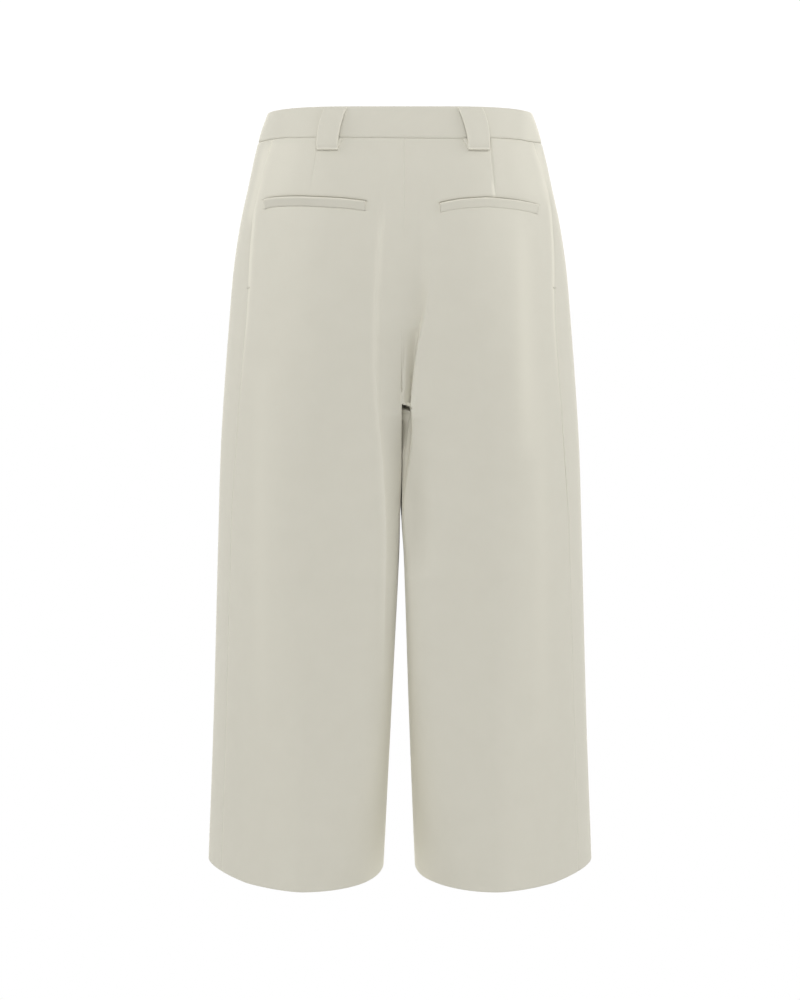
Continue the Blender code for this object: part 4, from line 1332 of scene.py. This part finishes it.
loopPlan = {
    "wall": 0.0016,
    "stand": 0.0024,  # the room for a belt
    "sewn": 0.06,  # the share of it that is sewn down at each end
    "bend": 0.6,
    "top": 0.0146,
    "foot": -0.0272,
    "off": 0.0005,
    "edge": 0.07,  # the share of its half width that its rounded edge takes up
    "bead": 0.00022,  # how far its folded edges stand up
    "doubled": 0.0010,  # how much thicker its folded foot is
    "rows": 72,
}
# how far across a strip's face its columns lie, from its middle, on either side
loopColumns = np.array([0.25, 0.5, 0.72, 0.83, 0.90, 0.95, 0.985, 1])
beltLoops = named("face side xTop xFoot topWidth footWidth", (
    ("back", 1, 0.0630, 0.0707, 0.0222, 0.0203),
    ("back", -1, 0.0684, 0.0766, 0.0246, 0.0203),
    ("front", 1, 0.0700, 0.0760, 0.0230, 0.0204),
    ("front", -1, 0.0700, 0.0760, 0.0230, 0.0204),
))


def beltLoop(row):
    # across the strip: over the face from edge to edge, round, and back underneath
    face = np.concatenate([-loopColumns[::-1], [0], loopColumns])
    fromMiddle = np.abs(face)
    edge = loopPlan["edge"]
    turned = np.sqrt(np.clip(1 - ((fromMiddle - 1 + edge) / edge).clip(0, 1) ** 2, 0, 1))
    bead = loopPlan["bead"] * (bell(fromMiddle - 0.86, edge) - 0.5 * bell(fromMiddle - 0.70, 0.05))
    outer = loopPlan["wall"] * (0.35 + 0.65 * turned) + bead
    under = face[::-1][1:-1]
    across = np.concatenate([face, under])
    thick = np.concatenate([outer, np.zeros(len(under))])
    loops = []
    uv = []
    marks = []
    for part in np.linspace(0, 1, loopPlan["rows"]):
        height = loopPlan["top"] + (loopPlan["foot"] - loopPlan["top"]) * part
        centre = row["xTop"] + (row["xFoot"] - row["xTop"]) * (1 - (1 - part) ** 1.9)
        half = (row["topWidth"] + (row["footWidth"] - row["topWidth"]) * part) / 2
        free = np.clip((part - loopPlan["sewn"]) / (1 - 2 * loopPlan["sewn"]), 0, 1)
        rise = loopPlan["stand"] * max(math.sin(math.pi * free), 0.0) ** loopPlan["bend"]
        toEnd = min(part, 1 - part) * (loopPlan["top"] - loopPlan["foot"])
        body = 0.30 + 0.70 * math.sqrt(1 - (1 - min(toEnd / 0.0008, 1.0)) ** 2)
        doubled = loopPlan["doubled"] * float(ramp(part, 0.55, 1.0))
        out = loopPlan["off"] + rise + (thick + doubled * (thick > 0)) * body
        loops.append(onSurface(row["side"], row["face"], centre + across * half, height, out))
        uv.append(np.column_stack([across * half, np.full(len(across), height)]))
        # painted highlights along the loop's edges and above its foot
        edges = 0.5 * bell(np.abs(across) - 0.95, 0.05) + 0.7 * bell(toEnd - 0.0006, 0.0007) * (part > 0.5)
        marks.append(edges * (thick > 0))
    word = sideWord(row["side"])
    name = f"beltLoop{row['face'].title()}{word}"
    piece = sweptPiece(name, np.array(loops), np.array(uv), np.array(marks), suitingCloth)
    onBody(piece, "suiting", f"belt_loop_{row['face']}_{word.lower()}")


print("belt loops")
for beltRow in beltLoops:
    beltLoop(beltRow)

# down a welt: how far below the slit, and how far it stands off
weltFace = named("drop out", (
    (0.0012, 0.0001),
    (0.0004, 0.0004),
    (0.0000, 0.0014),
    (0.0002, 0.0021),
    (0.0007, 0.00250),
    (0.0014, 0.00250),
    (0.0026, 0.00215),
    (0.0046, 0.00160),
    (0.0067, 0.00105),
    (0.0081, 0.00065),
    (0.0087, 0.00040),
    (0.0091, 0.00000),
    (0.0084, -0.00030),
    (0.0050, -0.00030),
    (0.0021, -0.00030),
))


def welt(side):
    pocket = pockets[side]
    x = np.linspace(pocket["xInner"], pocket["xOuter"], welts["columns"])
    toEnd = np.minimum(x - x[0], x[-1] - x)
    full = np.sqrt(1 - (1 - np.clip(toEnd / welts["endRound"], 0, 1)) ** 2)
    # painted highlight across part of the welt, fading at its ends
    weltHighlight = pocket["paintedHighlight"] * ramp(x, *pocket["highlightAcross"]) * ramp(toEnd, *welts["highlightEnd"])
    columns = []
    uv = []
    marks = []
    for place in weltFace:
        # a painted highlight along the welt's top fold
        fold = bell(place["drop"] - welts["foldDrop"], welts["foldReach"])
        edge = welts["foldHighlight"] * (place["out"] > welts["foldOut"]) * fold
        marks.append(np.maximum(weltHighlight, edge))
        z = slitHeight(side, x) - place["drop"]
        out = -welts["sunk"] + (place["out"] + welts["sunk"]) * (0.25 + 0.75 * full)
        columns.append(onSurface(side, "back", x, z, out))
        uv.append(np.column_stack([x, z]))
    columns, uv, marks = (np.stack(part, axis=1) for part in (columns, uv, marks))
    word = sideWord(side)
    piece = sweptPiece(f"weltBack{word}", columns, uv, marks, weltPaintedShade)
    onBody(piece, "suiting", f"welt_back_{word.lower()}")


print("welts")
for sideNow in (1, -1):
    welt(sideNow)

# the folded ends of the back belt loops, which show beside their feet

loopFolds = named("side x showTop showFoot", (
    (1, 0.0604, 0.0042, 0.0012),
    (-1, 0.0658, 0.0048, 0.0014),
))
loopFoldPlan = {"top": -0.0160, "foot": -0.0260, "width": 0.0120, "slant": 0.0022, "off": 0.0001, "rows": 9}
loopFoldFace = named("across thick", (
    (0.00, 0.0010),
    (0.04, 0.0016),
    (0.10, 0.0019),
    (0.20, 0.0018),
    (0.32, 0.0015),
    (0.44, 0.0011),
    (0.60, 0.0004),
    (1.00, 0.0003),
))


def loopFold(row):
    plan = loopFoldPlan
    across = np.array([place["across"] for place in loopFoldFace])
    thick = np.array([place["thick"] for place in loopFoldFace])
    part = np.linspace(0, 1, plan["rows"])[:, None]
    shown = row["showTop"] + (row["showFoot"] - row["showTop"]) * part
    z = plan["top"] + (plan["foot"] - plan["top"]) * part
    x = row["x"] + plan["slant"] * part - shown + across * plan["width"]
    outer = onSurface(row["side"], "back", x, z, plan["off"] + thick)
    inner = onSurface(row["side"], "back", x, z, plan["off"])
    uv = np.stack(np.broadcast_arrays(x, z), axis=2)
    word = sideWord(row["side"])
    piece = walledPiece(f"loopFoldBack{word}", outer, inner, uv, suitingCloth)
    onBody(piece, "suiting")


print("loop folds")
for foldRow in loopFolds:
    loopFold(foldRow)

# the zip inside the front opening

zipper = {
    "top": -0.0165,
    "bottom": -0.1580,
    "behind": 0.0023,  # how far behind the front's outer face the tapes lie
    "tape": 0.0007,
    "cord": 0.0005,  # the thick edge that the teeth are clamped on
    "selvedge": 0.00015,  # how thick the tape's other edge swells
    "rows": 90,
    "pitch": 0.0021,
    "firstTooth": 0.006,  # how far below the top the teeth start
    "lastTooth": 0.010,
    "toothHalf": 0.00062,
    "toothDeep": 0.00105,
    "stop": 0.0013,
    "stopHalf": 0.0030,
    "stopUp": 0.0070,
}
# how far from the middle a tape's columns lie
tapeColumns = np.array([
    0.0015, 0.0017, 0.0021, 0.0026, 0.0031, 0.0038, 0.0055, 0.0080, 0.0104, 0.0120, 0.0126, 0.0130,
])


def zipTape(side):
    bead = zipper["cord"] * bell(tapeColumns - 0.0022, 0.0006)
    bead += zipper["selvedge"] * bell(tapeColumns - 0.0124, 0.0005)
    z = np.linspace(zipper["top"], zipper["bottom"], zipper["rows"])[:, None]
    outer = onSurface(side, "front", tapeColumns, z, 0.4 * bead - zipper["behind"])
    inner = onSurface(side, "front", tapeColumns, z, -bead - zipper["behind"] - zipper["tape"])
    uv = np.stack(np.broadcast_arrays(tapeColumns, z), axis=2)
    word = sideWord(side)
    piece = walledPiece(f"zipTape{word}", outer, inner, uv, zipTapeCloth)
    onBody(piece, "zip_tape", "fly_zip")


# along a tooth, from its back over the tape's edge to its tip past the middle
toothShape = named("along swell", (
    (-0.0009, 0.55),
    (-0.0007, 0.85),
    (-0.0002, 1.00),
    (0.0006, 0.78),
    (0.0016, 0.92),
    (0.0027, 0.92),
    (0.0030, 0.70),
))


def zipTeeth():
    along = np.array([[place["along"]] for place in toothShape])
    swell = np.array([[place["swell"]] for place in toothShape])
    sides = 8
    turn = 2 * math.pi * (np.arange(sides) + 0.5) / sides
    parts = []
    middle = -zipper["behind"] - zipper["tape"] / 2
    run = zipper["top"] - zipper["bottom"] - zipper["firstTooth"] - zipper["lastTooth"]
    for side, offset in ((1, 0.25), (-1, 0.75)):
        for number in range(int(run / zipper["pitch"])):
            z = zipper["top"] - zipper["firstTooth"] - zipper["pitch"] * (number + offset)
            down = z + zipper["toothHalf"] * swell * np.cos(turn)
            out = middle + zipper["toothDeep"] * swell * np.sin(turn)
            rings = onSurface(side, "front", along, down, out)
            points = np.vstack([rings.reshape(-1, 3), rings[0].mean(axis=0), rings[-1].mean(axis=0)])
            caps = endCaps(len(along) * sides, sides)
            parts.append((points, quadFaces(len(along), sides, closed=True), caps))
    # the stop across both tapes at the bottom
    across = np.linspace(-zipper["stopHalf"], zipper["stopHalf"], 9)
    stop = onSurface(1, "front", across, zipper["bottom"] + zipper["stopUp"], middle)
    parts.append(tube(stop, zipper["stop"] * np.array([0.6, 0.9, 1, 1, 1, 1, 1, 0.9, 0.6]), 10))
    onBody(joinedPiece("zipTeeth", parts, zipMetal, smooth=35), "zip_metal")


slider = {
    "width": 0.0086,
    "length": 0.0110,
    "plate": 0.0011,
    "top": -0.0190,
    "depth": 0.0049,  # from the front's outer face to the plate
    "flange": 0.0013,  # how far its long edges turn in beside the chain
    "dome": 0.0003,
    "edge": 0.14,  # the share of its half width that its rounded edge takes up
}
# half a slider's width at each share of the way down it
sliderShape = named("down width", (
    (0.000, 0.62),
    (0.012, 0.78),
    (0.040, 0.90),
    (0.090, 0.98),
    (0.400, 1.00),
    (0.750, 0.84),
    (0.910, 0.74),
    (0.960, 0.66),
    (0.988, 0.54),
    (1.000, 0.40),
))
sliderColumns = np.array([0.2, 0.5, 0.74, 0.82, 0.90, 0.97, 1])


def zipSlider():
    ends = [row["down"] for row in sliderShape]
    down = np.concatenate([ends[:4], np.linspace(0.16, 0.84, 11), ends[6:]])
    width = smoothCurve(ends, [row["width"] for row in sliderShape], down)
    across = np.concatenate([-sliderColumns[::-1], [0], sliderColumns])
    x = slider["width"] / 2 * width[:, None] * across
    z = (slider["top"] - slider["length"] * down)[:, None]
    middle = ramp(down, 0.02, 0.12) * ramp(down, 0.98, 0.88)
    flange = slider["flange"] * ramp(np.abs(across), 0.80, 0.84) * middle[:, None]
    edge = slider["edge"]
    rounded = 0.30 + 0.70 * np.sqrt(1 - np.clip(np.abs(across) - 1 + edge, 0, edge) ** 2 / edge**2)
    dome = slider["dome"] * (1 - across**2) * middle[:, None]
    outer = onSurface(1, "front", x, z, flange - slider["depth"])
    inner = onSurface(1, "front", x, z, -slider["depth"] - slider["plate"] * rounded - dome)
    piece = walledPiece("zipSliderPlate", outer, inner, None, zipMetal, smooth=30)
    onBody(piece, "zip_metal", "zip_slider")


print("zip")
for sideNow in (1, -1):
    zipTape(sideNow)
zipTeeth()
zipSlider()

# the button on the band's lapped end

button = {
    "radius": 0.0075,
    "thickness": 0.0028,
    "rim": 0.0013,
    "dish": 0.0006,
    "hole": 0.0009,
    "holeRing": 0.0021,
    "x": 0.0165,
    "lapped": 0.0027,  # the height of the lapped end over the front
    "gap": 0.0005,
    "thread": 0.00022,
}


def buttonPlace():
    middle = (cloth["bandTop"] + cloth["bandBottom"]) / 2
    heights = middle + button["radius"] * np.array([1, -1, 0])
    out = button["lapped"] + np.array([0, 0, button["gap"]])
    upper, lower, centre = onSurface(1, "front", button["x"], heights, out)
    tilt = math.atan2(upper[1] - lower[1], upper[2] - lower[2])
    return Matrix.Translation(centre) @ Matrix.Rotation(math.pi / 2 - tilt, 4, "X")


def lathe(name, profile, steps):
    # a mesh turned round its own Z from (radius, height) pairs that start and end at its middle
    turn = 2 * math.pi * np.arange(steps) / steps
    around = np.column_stack([np.cos(turn), np.sin(turn)])
    rings = [np.column_stack([around * radius, np.full(steps, height)]) for radius, height in profile[1:-1]]
    points = np.vstack(rings + [[(0, 0, profile[0][1]), (0, 0, profile[-1][1])]])
    skin = quadFaces(len(rings), steps, closed=True)
    return meshPiece(name, points, skin, endCaps(len(rings) * steps, steps), buttonHorn, smooth=38)


def buttonProfile():
    # from the middle of its dished face, over its rim, to the middle of its back
    radius, thickness, rim, dish = (button[name] for name in ("radius", "thickness", "rim", "dish"))
    floor = thickness - dish
    soft = 0.00016
    profile = [
        (0, floor),
        (0.0032, floor),
        (radius - 2.3 * rim, floor),
        (radius - 1.9 * rim, floor + soft / 2),
    ]
    for turn in np.linspace(0, 0.5 * math.pi, 5):
        reach = radius - 1.7 * rim + 0.55 * rim * math.sin(turn)
        profile.append((reach, floor + soft + (dish - soft) * (1 - math.cos(turn))))
    for turn in np.linspace(0.1, 0.5 * math.pi, 7):
        drop = 0.42 * thickness * (1 - math.cos(turn))
        profile.append((radius - 0.85 * rim + 0.85 * rim * math.sin(turn), thickness - drop))
    profile.append((radius - 0.25 * rim, 0.0009))
    profile.append((radius - 0.8 * rim, 0.0003))
    profile.append((radius - 1.5 * rim, 0))
    profile.append((0, 0))
    return profile


def waistButton():
    made = lathe("hornButton", buttonProfile(), 80)
    floor = button["thickness"] - button["dish"]
    hole = button["hole"]
    drillProfile = (
        (0, -0.001),
        (hole, -0.001),
        (hole, floor - 0.00022),
        (hole + 0.00022, floor + 0.00004),
        (hole + 0.0003, floor + 0.001),
        (0, floor + 0.001),
    )
    drills = []
    for number in range(4):
        angle = math.pi / 2 * (number + 0.5)
        drill = lathe(f"drill{number}", drillProfile, 28)
        drill.location = (math.cos(angle) * button["holeRing"], math.sin(angle) * button["holeRing"], 0)
        cutter = made.modifiers.new(f"hole{number}", "BOOLEAN")
        cutter.operation = "DIFFERENCE"
        cutter.object = drill
        drills.append(drill)
    bpy.context.view_layer.update()
    shaped = bpy.data.meshes.new_from_object(made.evaluated_get(bpy.context.evaluated_depsgraph_get()))
    made.modifiers.clear()
    made.data = shaped
    for drill in drills:
        bpy.data.objects.remove(drill)
    shaped.transform(buttonPlace())
    shaped.shade_smooth()
    shaped.set_sharp_from_angle(angle=math.radians(38))
    onBody(made, "button", "waist_button")


def buttonThread():
    # two bundles of thread, each over the bridge between two holes
    place = np.array(buttonPlace())
    floor = button["thickness"] - button["dish"]
    ring = button["holeRing"] * math.cos(math.pi / 4)
    parts = []
    for row in (-1, 1):
        for strand in (-1, 0, 1):
            turn = np.linspace(0, math.pi, 13)
            x = ring * -np.cos(turn) * 1.05
            y = np.full(13, row * ring + strand * 1.6 * button["thread"])
            z = floor - 0.0006 + 0.0010 * np.sin(turn) ** 0.6 - 0.00008 * abs(strand)
            path = np.column_stack([x, y, z, np.ones(13)]) @ place.T
            parts.append(tube(path[:, :3], button["thread"]))
    piece = joinedPiece("buttonThread", parts, sewingThread)
    onBody(piece, "suiting")


buttonhole = {
    "from": 0.0042,
    "to": 0.0222,
    "half": 0.0011,
    "radius": 0.00050,
    "stitch": 0.00050,
    "out": 0.0031,
}


def buttonholeStitch():
    # close stitches round the slot in the lapped end, as a ring that swells at each stitch
    start, end, half = buttonhole["from"], buttonhole["to"], buttonhole["half"]
    length = end - start
    whole = 2 * length + 2 * math.pi * half
    count = int(whole / buttonhole["stitch"]) * 5
    at = np.linspace(0, whole, count, endpoint=False)
    middle = (cloth["bandTop"] + cloth["bandBottom"]) / 2
    first = np.clip((at - length) / half, 0, math.pi)
    second = np.clip((at - 2 * length - math.pi * half) / half, 0, math.pi)
    turn = math.pi / 2 - first - second
    along = np.clip(at, 0, length) - np.clip(at - length - math.pi * half, 0, length)
    x = start + along + half * np.cos(turn)
    z = middle + half * np.sin(turn)
    swell = 1 + 0.16 * np.cos(2 * math.pi * at / buttonhole["stitch"])
    path = onSurface(1, "front", x, z, buttonhole["out"])
    path = np.vstack([path, path[:1]])
    parts = [tube(path, buttonhole["radius"] * np.append(swell, swell[0]), 8, flat=0.6)]
    onBody(joinedPiece("buttonholeStitch", parts, sewingThread), "suiting")


print("button")
waistButton()
buttonThread()
buttonholeStitch()

# sewing that shows

# half is a bar tack's reach to either side, as a share of the way round a leg
barTack = {"in": 0.0030, "half": 0.004, "off": 0.0002, "radius": 0.0006, "stitches": 12}


def flyStitching():
    # down beside the front opening and round to the seam below it
    straight = np.column_stack([np.full(60, fly["x"]), np.linspace(fly["stitchTop"], fly["turnsIn"], 60)])
    turn = np.linspace(0, math.pi / 2, 80)[1:]
    curve = np.column_stack([
        fly["endX"] + (fly["x"] - fly["endX"]) * np.cos(turn),
        fly["turnsIn"] + (fly["end"] - fly["turnsIn"]) * np.sin(turn),
    ])
    line = np.vstack([straight, curve])
    travelled = travelledAlong(line)
    parts = []
    for start in np.arange(0, travelled[-1] - fly["stitch"], fly["stitch"] + fly["gap"]):
        at = np.linspace(start, start + fly["stitch"], 7)
        x = np.interp(at, travelled, line[:, 0])
        z = np.interp(at, travelled, line[:, 1])
        bow = np.sin(np.linspace(0, math.pi, 7))
        rise = flyRise(x + columnCurve(bodyShape, "middle", z), z)
        path = onSurface(-1, "front", x, z, rise - fly["stitchSunk"] + fly["stitchBow"] * bow)
        parts.append(tube(path, fly["thread"] * (0.6 + 0.4 * bow), 8))
    onBody(joinedPiece("flyStitching", parts, sewingThread), "suiting")


def barTacks():
    # the close short bars that hold both ends of each side pocket
    parts = []
    for side in (1, -1):
        for height in (sidePocket["top"] + barTack["in"], sidePocket["bottom"] - barTack["in"]):
            seamShare = sideSeamShare(side, height)
            shares = np.linspace(seamShare - barTack["half"], seamShare + barTack["half"], 61)
            grid = surfaceGrid(side, [height + 0.001, height, height - 0.001], shares)
            path = grid[1] + gridNormals(grid, side)[1] * barTack["off"]
            swell = 1 + 0.15 * np.cos(np.linspace(0, 2 * barTack["stitches"] * math.pi, 61))
            parts.append(tube(path, barTack["radius"] * swell, 8, flat=0.5))
    onBody(joinedPiece("pocketBarTacks", parts, sewingThread), "suiting")


print("stitching")
flyStitching()
barTacks()

# camera, light and room

room = {
    "floor": -1.05,
    "radius": 40.0,
    "shade": (0.80, 0.80, 0.79, 1.0),
}


def floorDisc():
    # a wide round floor, so that every view stands on the same one
    work = bmesh.new()
    bmesh.ops.create_circle(work, cap_ends=True, segments=96, radius=room["radius"])
    mesh = bpy.data.meshes.new("floor")
    work.to_mesh(mesh)
    work.free()
    finish, tree, shader = blankMaterial("paleFloor")
    shader.inputs["Base Color"].default_value = room["shade"]
    shader.inputs["Roughness"].default_value = 0.9
    seen = addNode(tree, "ShaderNodeEmission", (0, -300))
    seen.inputs["Strength"].default_value = 1.0
    ray = addNode(tree, "ShaderNodeLightPath", (0, 500))
    mix = addNode(tree, "ShaderNodeMixShader", (500, 100))
    tree.links.new(ray.outputs["Is Camera Ray"], mix.inputs[0])
    tree.links.new(shader.outputs[0], mix.inputs[1])
    tree.links.new(seen.outputs[0], mix.inputs[2])
    tree.links.new(mix.outputs[0], tree.nodes["Material Output"].inputs[0])
    mesh.materials.append(finish)
    floor = bpy.data.objects.new("floor", mesh)
    floor.location.z = room["floor"]
    bpy.context.scene.collection.objects.link(floor)


studio = {
    "seen": 1.05,  # how bright the backdrop looks
    "sky": 0.33,  # how much light it gives
    "skyColour": (1.0, 1.0, 1.0, 1.0),
}


def worldLight():
    world = bpy.data.worlds.new("studio")
    world.use_nodes = True
    tree = world.node_tree
    tree.nodes.clear()
    out = addNode(tree, "ShaderNodeOutputWorld", (400, 0))
    seen = addNode(tree, "ShaderNodeBackground", (0, 100))
    seen.inputs["Color"].default_value = studio["skyColour"]
    seen.inputs["Strength"].default_value = studio["seen"]
    given = addNode(tree, "ShaderNodeBackground", (0, -100))
    given.inputs["Color"].default_value = studio["skyColour"]
    given.inputs["Strength"].default_value = studio["sky"]
    ray = addNode(tree, "ShaderNodeLightPath", (-200, 300))
    mix = addNode(tree, "ShaderNodeMixShader", (200, 0))
    tree.links.new(ray.outputs["Is Camera Ray"], mix.inputs[0])
    tree.links.new(given.outputs[0], mix.inputs[1])
    tree.links.new(seen.outputs[0], mix.inputs[2])
    tree.links.new(mix.outputs[0], out.inputs[0])
    bpy.context.scene.world = world


# large soft panels of light round the object
softBoxes = named("name x y z aim size power", (
    ("softBoxLeft", 2.1, 0.4, 0.5, -0.25, 1.2, 8.8),
    ("softBoxRight", -2.1, 0.4, 0.5, -0.25, 1.2, 8.8),
    ("hipLightLeft", 1.2, 0.1, 0.6, 0.0, 0.6, 3.9),
    ("hipLightRight", -1.2, 0.1, 0.6, 0.0, 0.6, 4.7),
    ("lowLightLeft", 1.1, 1.5, -0.75, -0.75, 0.7, 1.8),
    ("lowLightRight", -1.1, 1.5, -0.75, -0.75, 0.7, 1.8),
    ("softBoxBehind", 0.0, 2.7, 1.7, -0.20, 1.8, 50.0),
    ("softBoxFront", 0.0, -3.0, 1.5, -0.35, 2.0, 80.0),
))


def lights():
    for row in softBoxes:
        lamp = bpy.data.lights.new(row["name"], "AREA")
        lamp.shape = "SQUARE"
        lamp.size = row["size"]
        lamp.energy = row["power"]
        holder = bpy.data.objects.new(row["name"], lamp)
        bpy.context.scene.collection.objects.link(holder)
        holder.location = (row["x"], row["y"], row["z"])
        aim = Vector((0, 0, row["aim"])) - holder.location
        holder.rotation_euler = aim.to_track_quat("-Z", "Y").to_euler()


print("room")
floorDisc()
worldLight()
lights()
bpy.context.scene.view_settings.view_transform = "Standard"

camera = {
    "lens": 90.0,
    "distance": 2.575,
    "aim": -0.3798,
    "above": 0.25,
}
eye = bpy.data.objects.new("camera", bpy.data.cameras.new("camera"))
bpy.context.scene.collection.objects.link(eye)
eye.data.lens = camera["lens"]
back = math.sqrt(camera["distance"] ** 2 - camera["above"] ** 2)
eye.location = (0, back, camera["aim"] + camera["above"])
eye.rotation_euler = (Vector((0, 0, camera["aim"])) - eye.location).to_track_quat("-Z", "Y").to_euler()
bpy.context.scene.camera = eye
